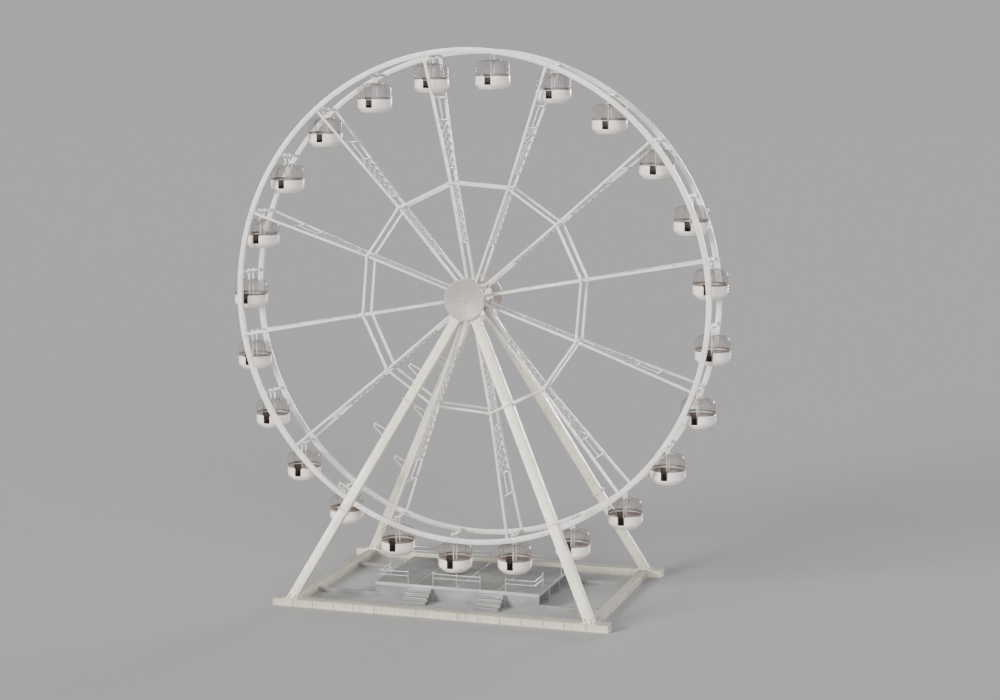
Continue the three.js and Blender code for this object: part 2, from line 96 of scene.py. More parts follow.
def cabin_pivot(index):
    angle = REST + index * math.tau / CABINS
    return Vector((PIVOT_R * math.cos(angle), 0, HUB_Z + PIVOT_R * math.sin(angle)))


print("cabin beams at radius", round(PIVOT_R, 3), "first pivot", cabin_pivot(0))

# %% [markdown]
# ## The camera
# The photograph was taken from a high window, well to the right of the wheel and a long way off. Its
# viewpoint was worked out from the ellipses of the two rims, which give the distance, the heading
# and the focal length together, and from the lines of the four legs. The line of sight is set by
# itself, because the wheel's hub doesn't lie in the middle of the picture.

# %% Camera
VIEWPOINT = Vector((36.721, -109.764, HUB_Z + 11.715))
SIGHT_LINE = Vector((-0.301566, 0.944808, -0.128045))
bpy.ops.object.camera_add(location=VIEWPOINT, rotation=SIGHT_LINE.to_track_quat("-Z", "Y").to_euler())
camera = bpy.context.object
camera.data.sensor_width = 36.0
camera.data.lens = 68.88
camera.data.clip_end = 2000
bpy.context.scene.camera = camera
print("camera", round((VIEWPOINT - Vector((0, 0, HUB_Z))).length, 1), "m from the hub")

# %% [markdown]
# ## Floor and light
# A wheel this large fills the sky, so it is lit like a product on a huge table: a plain pale floor
# that runs to the horizon, a pale sky for fill, and three broad suns. A sun with a wide angle gives
# the soft shadows of a studio lamp, but lights a thirty-metre object evenly from top to bottom. Two
# suns stand low in front and one low behind: the wheel then gets more light than the floor, and
# stands out from it. Near the horizon the sky is as bright as the floor, so that no edge shows behind
# the lattice, and higher up it is darker, which keeps the shading on the steel.

# %% Floor, sky and lamps
FLOOR_GREY = (0.449, 0.451, 0.454)
FLOOR_SIZE = 6000
FLOOR_DROP = 0.002
HORIZON_GLOW = 0.47
ZENITH_GLOW = 0.20

bpy.ops.mesh.primitive_plane_add(size=FLOOR_SIZE, location=(0, 0, -FLOOR_DROP))
floor = bpy.context.object
floor.name = "studio_floor"
floor_finish = bpy.data.materials.new("studio_floor")
floor_finish.use_nodes = True
floor_shader = floor_finish.node_tree.nodes["Principled BSDF"]
floor_shader.inputs["Base Color"].default_value = (*FLOOR_GREY, 1)
floor_shader.inputs["Roughness"].default_value = 0.9
floor_shader.inputs["Specular IOR Level"].default_value = 0.0
floor.data.materials.append(floor_finish)
floor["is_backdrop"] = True

sky = bpy.data.worlds.new("studio_sky")
sky.use_nodes = True
sky_nodes, sky_links = sky.node_tree.nodes, sky.node_tree.links
view_direction = sky_nodes.new("ShaderNodeTexCoord")
split = sky_nodes.new("ShaderNodeSeparateXYZ")
fade = sky_nodes.new("ShaderNodeMapRange")
fade.inputs["From Min"].default_value = 0.12
fade.inputs["From Max"].default_value = 0.5
fade.inputs["To Min"].default_value = HORIZON_GLOW
fade.inputs["To Max"].default_value = ZENITH_GLOW
sky_links.new(view_direction.outputs["Generated"], split.inputs["Vector"])
sky_links.new(split.outputs["Z"], fade.inputs["Value"])
sky_links.new(fade.outputs["Result"], sky_nodes["Background"].inputs["Strength"])
sky_nodes["Background"].inputs["Color"].default_value = (0.99, 0.99, 1.0, 1)
bpy.context.scene.world = sky

# Each lamp has the direction that its light comes from, a strength, a width in degrees and a colour.
LAMPS = {
    "key_sun": ((-0.7, -1.0, 0.36), 5.2, 25, (1.0, 0.98, 0.94)),
    "fill_sun": ((0.7, -1.0, 0.12), 4.2, 50, (0.93, 0.96, 1.0)),
    "back_sun": ((0.25, 1.0, 0.11), 4.4, 26, (1.0, 1.0, 1.0)),
}
for lamp_name, (direction, strength, width, colour) in LAMPS.items():
    bpy.ops.object.light_add(type="SUN", rotation=Vector(direction).to_track_quat("Z", "Y").to_euler())
    lamp = bpy.context.object
    lamp.name = lamp_name
    lamp.data.energy = strength
    lamp.data.angle = math.radians(width)
    lamp.data.color = colour
print("lamps", ", ".join(LAMPS))

# %% [markdown]
# ## Helpers for modelling
# Every piece below is made the same way: add a primitive at its place, pick some of its faces or
# edges by where they are, push them about in edit mode, then apply a modifier. These helpers hold
# the steps that repeat. An operator works on all that is selected, so each one starts by clearing
# the selection.

# %% Modelling helpers
def add(shape, name, **options):
    """Adds a mesh primitive, with its place, turn and scale moved into its mesh."""
    bpy.ops.object.select_all(action="DESELECT")
    getattr(bpy.ops.mesh, f"primitive_{shape}_add")(**options)
    bpy.ops.object.transform_apply(location=True, rotation=True, scale=True)
    piece = bpy.context.object
    piece.name = name
    piece.data.name = name
    return piece


def only(piece):
    """Makes this piece the one that operators act on."""
    bpy.ops.object.select_all(action="DESELECT")
    piece.select_set(True)
    bpy.context.view_layer.objects.active = piece


def edit(piece):
    only(piece)
    bpy.ops.object.mode_set(mode="EDIT")


def done():
    bpy.ops.object.mode_set(mode="OBJECT")


def done_outward(weld=False):
    """Leaves edit mode with all the faces turned outwards. With weld, doubled points are merged first."""
    bpy.ops.mesh.select_all(action="SELECT")
    if weld:
        bpy.ops.mesh.remove_doubles(threshold=0.0001)
    bpy.ops.mesh.normals_make_consistent(inside=False)
    done()


def pick(kind, test):
    """In edit mode: selects the edges or faces that pass a test of their middle and of themselves."""
    bpy.ops.mesh.select_mode(type=kind)
    bpy.ops.mesh.select_all(action="DESELECT")
    mesh = bmesh.from_edit_mesh(bpy.context.object.data)
    if kind == "EDGE":
        chosen = [e for e in mesh.edges if test((e.verts[0].co + e.verts[1].co) / 2, e)]
    else:
        chosen = [f for f in mesh.faces if test(f.calc_center_median(), f)]
    for part in chosen:
        part.select_set(True)
    mesh.select_flush_mode()
    bmesh.update_edit_mesh(bpy.context.object.data)


def pick_facing(direction):
    """In edit mode: selects the faces that look in a direction, give or take 25 degrees."""
    pick("FACE", lambda centre, face: face.normal.dot(direction) > 0.9)


def pick_border(test=lambda middle: True):
    """In edit mode: selects the open edges, or those of them whose middle passes the test."""
    pick("EDGE", lambda middle, edge: edge.is_boundary and test(middle))


def cut_away(piece, test):
    """Deletes the faces whose middle passes the test."""
    edit(piece)
    pick("FACE", lambda centre, face: test(centre))
    bpy.ops.mesh.delete(type="FACE")
    done()
    return piece


def extrude(move):
    bpy.ops.mesh.extrude_region_move(TRANSFORM_OT_translate={"value": move})


def modify(piece, kind, **values):
    """Adds a modifier, sets it and applies it."""
    only(piece)
    bpy.ops.object.modifier_add(type=kind)
    modifier = piece.modifiers[-1]
    for key, value in values.items():
        setattr(modifier, key, value)
    bpy.ops.object.modifier_apply(modifier=modifier.name)
    return piece


def bevel(piece, width, segments=2, degrees=50):
    """Rounds the edges where two faces meet at more than the angle."""
    limit = math.radians(degrees)
    return modify(piece, "BEVEL", width=width, segments=segments, limit_method="ANGLE", angle_limit=limit)


def join(pieces, name):
    """Joins the pieces into the first of them."""
    only(pieces[0])
    for piece in pieces:
        piece.select_set(True)
    bpy.ops.object.join()
    pieces[0].name = name
    pieces[0].data.name = name
    return pieces[0]


def copy_of(piece, name, placed):
    """A copy with its own mesh, put in place by a matrix."""
    twin = piece.copy()
    twin.data = piece.data.copy()
    twin.data.transform(placed)
    if placed.determinant() < 0:
        twin.data.flip_normals()
    twin.name = name
    bpy.context.scene.collection.objects.link(twin)
    return twin


def smooth(piece, degrees=40):
    only(piece)
    bpy.ops.object.shade_smooth_by_angle(angle=math.radians(degrees))
    return piece


def dress(piece, *materials):
    piece.data.materials.clear()
    for material in materials:
        piece.data.materials.append(material)
    return piece


print("helpers ready")

# %% [markdown]
# ## Bars and tubes between two points
# A lattice is nothing but straight members between known points. A bar is a cube stretched from one
# point to the other, and a tube is a cylinder. Turning them is the only hard part: a member needs to
# know which way its own side faces, or square bars would roll about their length.

# %% Members
def placed_along(start, end, side):
    """The turn that takes Z along the member and Y to the given side."""
    along = (end - start).normalized()
    across = side.cross(along).normalized()
    return Matrix((across, along.cross(across), along)).transposed().to_4x4()


def bar(name, start, end, width, depth, side=UP):
    """A square-edged bar: width lies across the side direction, depth along it."""
    start, end = Vector(start), Vector(end)
    piece = add("cube", name, size=1, scale=(width, depth, (end - start).length))
    piece.data.transform(Matrix.Translation((start + end) / 2) @ placed_along(start, end, side))
    return piece


def plate(name, middle, half, width, depth, side=UP):
    """A bar given by its middle and by the way from there to its end."""
    middle, half = Vector(middle), Vector(half)
    return bar(name, middle - half, middle + half, width, depth, side)


def tube(name, start, end, radius, sides=12):
    start, end = Vector(start), Vector(end)
    piece = add("cylinder", name, vertices=sides, radius=radius, depth=(end - start).length)
    upright = abs((end - start).normalized().z) >= 0.99
    turn = placed_along(start, end, X_SIDE if upright else UP)
    piece.data.transform(Matrix.Translation((start + end) / 2) @ turn)
    return piece


def pointing(place, direction):
    """A matrix that puts something standing on Z at a place, pointing in a direction."""
    turn = Vector(direction).to_track_quat("Z", "Y").to_matrix().to_4x4()
    return Matrix.Translation(place) @ turn


def on_circle(count, radius, first=0.0):
    """Points spaced evenly round a circle, as pairs of coordinates."""
    angles = [first + k * math.tau / count for k in range(count)]
    return [(radius * math.cos(angle), radius * math.sin(angle)) for angle in angles]


def bolt(name, radius, height):
    """A hexagon head on a washer, standing on the origin and pointing up Z."""
    washer_thick = height * 0.25
    washer = add(
        "cylinder", name, vertices=16, radius=radius * 1.35, depth=washer_thick,
        location=(0, 0, washer_thick / 2),
    )
    head = add("cylinder", name, vertices=6, radius=radius, depth=height, location=(0, 0, height / 2))
    edit(head)
    pick_facing(UP)
    bpy.ops.mesh.inset(thickness=radius * 0.12, depth=radius * 0.08)
    done()
    return join([washer, head], name)


print("member helpers ready")

# %% [markdown]
# ## Painted steel
# All the structure is welded steel with a thick two-part paint that has stood outdoors for years. A
# flat colour would look like plastic, so the paint is built from three layers of noise: wide faded
# patches, thin rain streaks that run down the steel, and a fine orange-peel bump. The noises read
# Object coordinates in metres, so the pattern has the same real scale on every piece.

# %% Paint finishes
def new_finish(name):
    """A material, its shader, and the Object coordinates that all its textures read."""
    material = bpy.data.materials.new(name)
    material.use_nodes = True
    nodes = material.node_tree.nodes
    return material, nodes["Principled BSDF"], nodes.new("ShaderNodeTexCoord").outputs["Object"]


def feed(fed, values):
    """Sets inputs of a node. A value is a number, a colour or the output of another node."""
    for key, value in values.items():
        socket = fed.inputs[key]
        if isinstance(value, bpy.types.NodeSocket):
            fed.id_data.links.new(value, socket)
        elif socket.type == "RGBA":
            socket.default_value = (*value, 1)
        else:
            socket.default_value = value


def node(source, kind, values, **settings):
    """Adds a node to the tree that the source socket is in."""
    made = source.id_data.nodes.new(kind)
    for key, value in settings.items():
        setattr(made, key, value)
    feed(made, values)
    return made


def noise(place, scale, detail, stretch=(1, 1, 1)):
    mapping = node(place, "ShaderNodeMapping", {"Scale": stretch, "Vector": place})
    values = {"Scale": scale, "Detail": detail, "Vector": mapping.outputs["Vector"]}
    return node(place, "ShaderNodeTexNoise", values).outputs["Fac"]


def spread(value, low, high, to_low=0.0, to_high=1.0):
    """Stretches the useful middle of a noise over a range."""
    limits = {"From Min": low, "From Max": high, "To Min": to_low, "To Max": to_high}
    return node(value, "ShaderNodeMapRange", {"Value": value, **limits}).outputs["Result"]


def blend(factor, first, second):
    """Mixes two colours. The mix node keeps its colour sockets at 6 and 7, and the result at 2."""
    return node(factor, "ShaderNodeMix", {"Factor": factor, 6: first, 7: second}, data_type="RGBA").outputs[2]


def shade(colour, amount):
    return tuple(min(1.0, part * amount) for part in colour)


def add_bump(shader, height, strength, distance):
    bump = node(height, "ShaderNodeBump", {"Strength": strength, "Distance": distance, "Height": height})
    feed(shader, {"Normal": bump.outputs["Normal"]})


DIRT = (0.20, 0.17, 0.13)
PRIMER = (0.33, 0.29, 0.25)
BARE_STEEL = (0.46, 0.44, 0.42)


def paint(name, colour, roughness=0.42, grime=0.35):
    material, shader, place = new_finish(name)
    patches = spread(noise(place, 0.45, 5), 0.35, 0.65)
    faded = blend(patches, shade(colour, 0.88), shade(colour, 1.06))
    streaks = spread(noise(place, 1.0, 6, (7, 7, 0.5)), 0.52, 0.82, 0.0, grime)
    streaked = blend(streaks, faded, DIRT)
    specks = spread(noise(place, 38, 3), 0.66, 0.74, 0.0, 0.5)
    feed(shader, {
        "Base Color": blend(specks, streaked, shade(DIRT, 1.6)),
        "Roughness": spread(noise(place, 2.2, 6), 0.3, 0.7, roughness - 0.08, roughness + 0.16),
        "Coat Weight": 0.15,
        "Coat Roughness": 0.3,
    })
    add_bump(shader, noise(place, 55, 3), 0.12, 0.004)
    return material


def worn_edge(name, colour):
    """The paint on a corner: thinner, chalkier, and rubbed through to primer and steel in places."""
    material, shader, place = new_finish(name)
    rubbed = spread(noise(place, 5.5, 8), 0.50, 0.60)
    primer = blend(rubbed, shade(colour, 1.12), PRIMER)
    bare = spread(noise(place, 11, 6), 0.60, 0.66)
    feed(shader, {
        "Base Color": blend(bare, primer, BARE_STEEL),
        "Roughness": spread(bare, 0, 1, 0.6, 0.35),
    })
    add_bump(shader, rubbed, 0.25, 0.003)
    return material


SPOKE_GREY = (0.62, 0.60, 0.565)
HUB_GREY = (0.36, 0.315, 0.30)
LEG_CREAM = (0.72, 0.67, 0.55)
BASE_CREAM = (0.50, 0.465, 0.385)
rim_paint = paint("rim_paint", (0.64, 0.62, 0.585))
spoke_paint = paint("spoke_paint", SPOKE_GREY)
hub_paint = paint("hub_paint", HUB_GREY, 0.5, grime=0.3)
leg_paint = paint("leg_paint", LEG_CREAM, grime=0.42)
base_paint = paint("base_paint", BASE_CREAM, 0.55, grime=0.7)
spoke_edge = worn_edge("spoke_edge", SPOKE_GREY)
hub_edge = worn_edge("hub_edge", HUB_GREY)
leg_edge = worn_edge("leg_edge", LEG_CREAM)
base_edge = worn_edge("base_edge", BASE_CREAM)
print("paints", rim_paint.name, spoke_paint.name, hub_paint.name, leg_paint.name, base_paint.name)

# %% [markdown]
# ## Bare metals, plate, fibreglass and vinyl
# The small parts need their own looks: zinc bolts are dull and slightly blue, galvanised tube has
# large soft crystals, and the deck is rolled plate with raised bars. The cabins are moulded
# fibreglass, smooth and glossy, whose tone changes slightly from patch to patch; their seats are dark
# vinyl with a grain. Their canopies are smoked clear sheet, which is see-through because its alpha is
# low. Each finish uses one texture that suits it, such as a Voronoi for the zinc crystals.

# %% Other finishes
def zinc_finish(name, colour, roughness, crystals):
    material, shader, place = new_finish(name)
    cells = node(place, "ShaderNodeTexVoronoi", {"Scale": crystals, "Vector": place})
    tone = spread(cells.outputs["Color"], 0, 1)
    dull = blend(tone, shade(colour, 0.86), shade(colour, 1.08))
    stains = spread(noise(place, 3, 5), 0.55, 0.75, 0, 0.4)
    feed(shader, {
        "Base Color": blend(stains, dull, (0.30, 0.28, 0.25)),
        "Metallic": 0.85,
        "Roughness": spread(tone, 0, 1, roughness - 0.06, roughness + 0.10),
    })
    add_bump(shader, cells.outputs["Distance"], 0.08, 0.001)
    return material


def tread_bars(place, degrees):
    """The joints of a brick pattern, turned, are the raised bars that run one way."""
    turned = node(place, "ShaderNodeMapping", {"Rotation": (0, 0, math.radians(degrees)), "Vector": place})
    return node(place, "ShaderNodeTexBrick", {
        "Scale": 9.0,
        "Mortar Size": 0.035,
        "Mortar Smooth": 0.6,
        "Brick Width": 0.9,
        "Row Height": 0.45,
        "Color1": (0, 0, 0),
        "Color2": (0, 0, 0),
        "Mortar": (1, 1, 1),
        "Vector": turned.outputs["Vector"],
    }).outputs["Fac"]


def tread_plate(name):
    """Rolled plate: raised bars in two directions on the faces that look up, brighter where walked on."""
    material, shader, place = new_finish(name)
    facing = node(place, "ShaderNodeSeparateXYZ", {"Vector": place.node.outputs["Normal"]})
    on_top = spread(facing.outputs["Z"], 0.7, 0.9)
    both_ways = {0: tread_bars(place, 45), 1: tread_bars(place, -45)}
    raised = node(place, "ShaderNodeMath", both_ways, operation="MAXIMUM").outputs["Value"]
    pattern = node(place, "ShaderNodeMath", {0: raised, 1: on_top}, operation="MULTIPLY").outputs["Value"]
    walked = spread(noise(place, 0.9, 6), 0.35, 0.65)
    ground = blend(walked, (0.18, 0.18, 0.177), (0.26, 0.257, 0.25))
    feed(shader, {
        "Base Color": blend(pattern, ground, (0.40, 0.40, 0.393)),
        "Metallic": 0.35,
        "Roughness": spread(walked, 0, 1, 0.72, 0.56),
    })
    add_bump(shader, pattern, 0.5, 0.004)
    return material


def fibreglass(name, colour, tinted):
    material, shader, place = new_finish(name)
    tint = spread(noise(place, 0.8, 4), 0.35, 0.7)
    body = blend(tint, colour, tinted)
    scuffs = spread(noise(place, 6, 8, (1, 1, 3)), 0.60, 0.70, 0, 0.35)
    feed(shader, {
        "Base Color": blend(scuffs, body, shade(colour, 0.72)),
        "Roughness": spread(scuffs, 0, 0.35, 0.22, 0.5),
        "Coat Weight": 0.5,
        "Coat Roughness": 0.12,
    })
    add_bump(shader, noise(place, 3.5, 2), 0.10, 0.01)
    return material


def vinyl(name, colour):
    material, shader, place = new_finish(name)
    grain = node(place, "ShaderNodeTexVoronoi", {"Scale": 260.0, "Vector": place})
    rubbed = spread(noise(place, 4, 5), 0.45, 0.7, 0, 0.6)
    feed(shader, {
        "Base Color": blend(rubbed, colour, shade(colour, 1.8)),
        "Roughness": spread(rubbed, 0, 0.6, 0.42, 0.6),
    })
    add_bump(shader, grain.outputs["Distance"], 0.3, 0.001)
    return material


def clear_sheet(name, colour, haze):
    """Smoked clear sheet, hazier where rain and hands have marked it."""
    material, shader, place = new_finish(name)
    smudges = spread(noise(place, 2.6, 6), 0.38, 0.70)
    feed(shader, {
        "Base Color": blend(smudges, colour, shade(colour, 1.6)),
        "Alpha": spread(smudges, 0, 1, haze, haze * 1.8),
        "Roughness": spread(smudges, 0, 1, 0.05, 0.25),
    })
    return material


zinc = zinc_finish("zinc_bolts", (0.52, 0.53, 0.55), 0.38, 90)
galvanised = zinc_finish("galvanised_tube", (0.58, 0.59, 0.60), 0.36, 28)
deck_plate = tread_plate("deck_plate")
cabin_white = fibreglass("cabin_white", (0.83, 0.75, 0.69), (0.86, 0.80, 0.75))
# The inside of the tub gets a dark brown fibreglass: painted shade, standing for the shadow in the tub.
tub_inside_painted_shade = fibreglass("tub_inside_painted_shade", (0.16, 0.12, 0.10), (0.13, 0.10, 0.085))
# The crown gets a dark taupe: painted shade, standing for the shadow on the cabins' roofs.
crown_painted_shade = fibreglass("crown_painted_shade", (0.27, 0.225, 0.19), (0.23, 0.19, 0.165))
canopy_clear = clear_sheet("canopy_clear", (0.24, 0.20, 0.18), 0.10)
seat_vinyl = vinyl("seat_vinyl", (0.075, 0.05, 0.045))
canopy_trim = vinyl("canopy_trim", (0.15, 0.13, 0.115))
cabin_floor = vinyl("cabin_floor", (0.10, 0.095, 0.09))
print("finishes", len(bpy.data.materials))

# %% [markdown]
# ## Handing a piece over
# When a piece is done it gets the body that it moves with, and joins the list of made pieces. Some
# pieces stand for a plain engineering node, which is then hidden. One call does all of it, so that no
# piece can be forgotten. What repeats is modelled once, as a pattern, and thrown away when its copies
# have been handed over.

# %% Hand over
made_pieces = []


def hand_over(piece, body, slot, *stands_for):
    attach(piece, body)
    if stands_for:
        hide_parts(*stands_for)
    made_pieces.append(piece)


def hand_over_copies(places, body, slot, patterns, stand_in=None):
    """At each named place, a copy of each pattern. The part stand_in stands for the node of that name."""
    for place, placed in places.items():
        for part, pattern in patterns.items():
            stands_for = [place] if part == stand_in else []
            hand_over(copy_of(pattern, f"{place}_{part}", placed), body, slot, *stands_for)


def discard(*patterns):
    for pattern in patterns:
        bpy.data.objects.remove(pattern)


def front_and_rear(name):
    """The two places of a piece that is drawn at the rear: mirrored to the front, and as drawn."""
    return {f"{name}_front": Matrix.Diagonal((1, -1, 1, 1)), f"{name}_rear": Matrix.Identity(4)}


def bolts(name, radius, height, spots):
    """One zinc bolt copied to all the spots, as one piece."""
    pattern = bolt(name + "_pattern", radius, height)
    copies = [copy_of(pattern, name, spot) for spot in spots]
    discard(pattern)
    return dress(join(copies, name), zinc)


def numbered(name, index):
    return f"{name}_{index + 1:02d}"


print("ready to model")

# %% [markdown]
# ## The spokes
# Each spoke is a flat girder made in two lengths that are bolted together beside the tie ring. Two
# square chords run parallel from the hub and then spread to reach the two rims. A zigzag of round
# tube braces them, with thin counter rods that cross it. A second, lighter lattice starts half a bay
# later and fills the web, which the photograph shows as an even grey band. The chords are pushed out
# of a cube by extruding its end, because that keeps the kink as one clean mitre instead of two bars
# that overlap.

# %% One spoke: chords and bracing
STRUT_RADII = (3.4, 7.05, 7.95, 10.9, 12.25)
INNER_WEB = (3.4, 7.05, 4)
OUTER_WEB = (7.95, 10.9, 3)
STRUT_TUBE = 0.045
WEB_TUBE = 0.044
COUNTER_ROD = 0.026
ROD_OFFSET = 0.034
LACING = 0.036
KINK_OUT = RIM_CHORD_Y - HUB_CHORD_Y
KINK_LONG = SPOKE_OUT - KINK_R


def chord_y(radius):
    share = max(0.0, (radius - KINK_R) / KINK_LONG)
    return HUB_CHORD_Y + share * KINK_OUT


def inner_y(radius):
    """How far the inner face of a chord is from the girder's middle line."""
    return chord_y(radius) - CHORD / 2


def spoke_chord(side):
    middle = (SPOKE_IN + CHORD / 2, side * HUB_CHORD_Y, 0)
    piece = add("cube", "spoke_chord", size=CHORD, location=middle)
    edit(piece)
    pick_facing(X_SIDE)
    bpy.ops.transform.translate(value=(KINK_R - SPOKE_IN - CHORD, 0, 0))
    extrude((KINK_LONG, side * KINK_OUT, 0))
    done()
    return piece


def web(start, end, bays):
    """A zigzag of tube between the chords, the rods that cross it, and the lattice half a bay later."""
    step = (end - start) / bays
    members = []
    for i in range(bays):
        side = -1 if i % 2 == 0 else 1
        r0, r1 = start + i * step, start + (i + 1) * step
        y0, y1 = side * inner_y(r0), side * inner_y(r1)
        members.append(tube("web", (r0, y0, 0), (r1, -y1, 0), WEB_TUBE, 10))
        for z in (ROD_OFFSET, -ROD_OFFSET):
            members.append(tube("rod", (r0, -y0, z), (r1, y1, z), COUNTER_ROD, 6))
    for i in range(bays + 1):
        r0 = max(start, start + (i - 0.5) * step)
        r1 = min(end, start + (i + 0.5) * step)
        y0 = inner_y(r0) if i > 0 else 0
        y1 = inner_y(r1) if i < bays else 0
        for side in (-1, 1):
            members.append(tube("lacing", (r0, side * y0, 0), (r1, -side * y1, 0), LACING, 8))
    return members


members = [spoke_chord(-1), spoke_chord(1)]
for radius in STRUT_RADII:
    members.append(tube("strut", (radius, -inner_y(radius), 0), (radius, inner_y(radius), 0), STRUT_TUBE))
members += web(*INNER_WEB) + web(*OUTER_WEB)
members.append(tube("middle_rail", (STRUT_RADII[3], 0, 0), (STRUT_RADII[4], 0, 0), STRUT_TUBE))
print("spoke members", len(members))

# %% [markdown]
# The girder also has plates: gussets where the bracing meets the chords, a pair of flanges at the
# transport joint, and end plates at the hub and the rim. They are thin bars laid across the chords.
# One bevel over the whole girder then rounds all its corners, so that they catch the light as the
# edges of real steel do.

# %% One spoke: plates, bolts and bevel
JOINT_R = 7.5
PLATE = 0.016
CHORD_PLATE = 0.03
TIE_R = 7.07
TIE_GAP = 0.0003
TIE_DEEP = 0.10
TIE_FACE_Y = HUB_CHORD_Y + CHORD / 2 + TIE_GAP + TIE_DEEP
# The plates square to a chord: the radius where one sits, and how far it stands out all round.
CHORD_PLATES = (
    (JOINT_R - 0.022, 0.045),
    (JOINT_R + 0.022, 0.045),
    (SPOKE_IN + 0.020, 0.035),
    (SPOKE_OUT - 0.016, 0.028),
)
GUSSET_WIDE = 0.18
GUSSET_UNDER_CHORD = 0.03
GUSSET_OUT = 0.08
JOINT_BOLT = 0.088
JOINT_BOLT_LIFT = 0.037
CLAMP_LONG = 0.22
CLAMP_WIDE = 0.12
CLAMP_THICK = 0.012
CLAMP_BOLTS = (-0.17, -0.08, 0.08, 0.17)


def chord_direction(radius, side):
    slope = KINK_OUT / KINK_LONG if radius > KINK_R else 0.0
    return Vector((1, side * slope, 0)).normalized()


def chord_plate(radius, side, reach):
    half = chord_direction(radius, side) * CHORD_PLATE / 2
    size = CHORD + 2 * reach
    return plate("plate", (radius, side * chord_y(radius), 0), half, size, size)


def gusset(radius, side):
    start = (radius, side * (inner_y(radius) + GUSSET_UNDER_CHORD), 0)
    end = (radius, side * (inner_y(radius) - GUSSET_OUT), 0)
    return bar("gusset", start, end, GUSSET_WIDE, PLATE)


plates = []
for side in (-1, 1):
    plates += [chord_plate(radius, side, reach) for radius, reach in CHORD_PLATES]
    clamp = (TIE_R, side * (TIE_FACE_Y + 0.0065), 0)
    plates.append(plate("clamp", clamp, UP * CLAMP_LONG, CLAMP_WIDE, CLAMP_THICK, Y_SIDE))
    plates += [gusset(radius, side) for radius in STRUT_RADII]
for start, end, bays in (INNER_WEB, OUTER_WEB):
    for i in range(1, bays):
        plates.append(gusset(start + i * (end - start) / bays, 1 if i % 2 else -1))
spoke = smooth(dress(bevel(join(members + plates, "spoke"), 0.007), spoke_paint))
print("spoke faces", len(spoke.data.polygons))

spots = []
for side in (-1, 1):
    along = chord_direction(JOINT_R, side)
    across = Vector((-along.y, along.x, 0))
    joint = Vector((JOINT_R, side * chord_y(JOINT_R), 0))
    for u, v in ((-1, -1), (-1, 1), (1, -1), (1, 1), (0, -1), (0, 1)):
        spot = joint + (across * u + UP * v) * JOINT_BOLT
        spots.append(pointing(spot + along * JOINT_BOLT_LIFT, along))
        spots.append(pointing(spot - along * JOINT_BOLT_LIFT, -along))
    for z in CLAMP_BOLTS:
        spots.append(pointing((TIE_R, side * (TIE_FACE_Y + CLAMP_THICK), z), (0, side, 0)))
spoke_bolts = bolts("spoke_bolts", 0.016, 0.018, spots)

turns = {numbered("spoke", i): wheel_turn(i * math.tau / SPOKES) for i in range(SPOKES)}
patterns = {"girder": spoke, "bolts": spoke_bolts}
hand_over_copies(turns, "wheel", "spoke_paint", patterns, stand_in="girder")
discard(*patterns.values())
print("spokes", SPOKES)

# %% [markdown]
# ## The rims and the cabins' beams
# A rim is one section swept round a circle, which is what the spin tool does: a small face is drawn
# where the section would be cut, its corners are rounded, and it is spun about the shaft. A third of
# the wheel is modelled once, with both rims, the round beams that carry the cabins, and the splice
# plates where the rim lengths are bolted. Two turned copies complete the circle.

# %% Rim arcs by spinning a section
RIM_SEGMENTS = 3
RIM_STEPS = 96
RIM_CORNER = 0.018
SWEEP = math.tau / RIM_SEGMENTS
HALF_BAY = math.tau / CABINS / 2
END_GAP = 0.00002


def rim_arc(side):
    section = add("plane", "rim_arc", size=1)
    size = Matrix.Diagonal((RIM_OUT - RIM_IN, RIM_WIDE, 1, 1))
    section.data.transform(Matrix.Translation((PIVOT_R, side * RIM_Y, 0)) @ size)
    edit(section)
    bpy.ops.mesh.select_all(action="SELECT")
    bpy.ops.mesh.bevel(offset=RIM_CORNER, segments=2, affect="VERTICES")
    bpy.ops.mesh.spin(
        steps=RIM_STEPS, angle=SWEEP - 2 * END_GAP, center=(0, 0, 0), axis=(0, -1, 0), use_normal_flip=False
    )
    done_outward(weld=True)
    section.data.transform(Matrix.Rotation(HALF_BAY - END_GAP, 4, "Y"))
    return section


arcs = [rim_arc(-1), rim_arc(1)]
for arc in arcs:
    bm = bmesh.new()
    bm.from_mesh(arc.data)
    open_edges = sum(1 for edge in bm.edges if not edge.is_manifold)
    volume = round(bm.calc_volume(signed=True), 3)
    print("rim arc faces", len(bm.faces), "open edges", open_edges, "volume", volume)
    bm.free()

# %% [markdown]
# A cabin hangs on a round beam that runs from rim to rim. Near each rim the beam has a bolted
# flange, and two collars in the middle keep the cabin's sleeve from sliding. Each is a short
# cylinder with its edge bevelled, set on the beam's own line.

# %% Beams, flanges, collars and splice plates
BEAM_R = 0.08
SLEEVE_HALF = 0.36
RIM_FACE_Y = RIM_Y - RIM_WIDE / 2
RIM_OUTSIDE_Y = RIM_Y + RIM_WIDE / 2
# The rings on a beam: the middle's distance from the wheel's middle, the radius and the thickness.
BEAM_FLANGE = (RIM_FACE_Y - 0.014, 0.15, 0.024)
COLLAR = (SLEEVE_HALF + 0.03, 0.115, 0.04)
BEAM_BOLTS = 6
BEAM_BOLT_CIRCLE = 0.118
BEAM_BOLT_Y = RIM_FACE_Y - 0.026
SPLICE_HALF = 0.24
SPLICE_WIDE = 0.24
SPLICE_THICK = 0.014
SPLICE_LIFT = 0.006
SPLICE_BOLTS = [(u, v) for u in (-0.19, -0.10, 0.10, 0.19) for v in (-0.075, 0.075)]


def along_y(radius, angle, y):
    return Vector((radius * math.cos(angle), y, radius * math.sin(angle)))


def ring_on_beam(angle, y, radius, thick):
    start, end = along_y(PIVOT_R, angle, y - thick / 2), along_y(PIVOT_R, angle, y + thick / 2)
    return tube("ring", start, end, radius, 24)


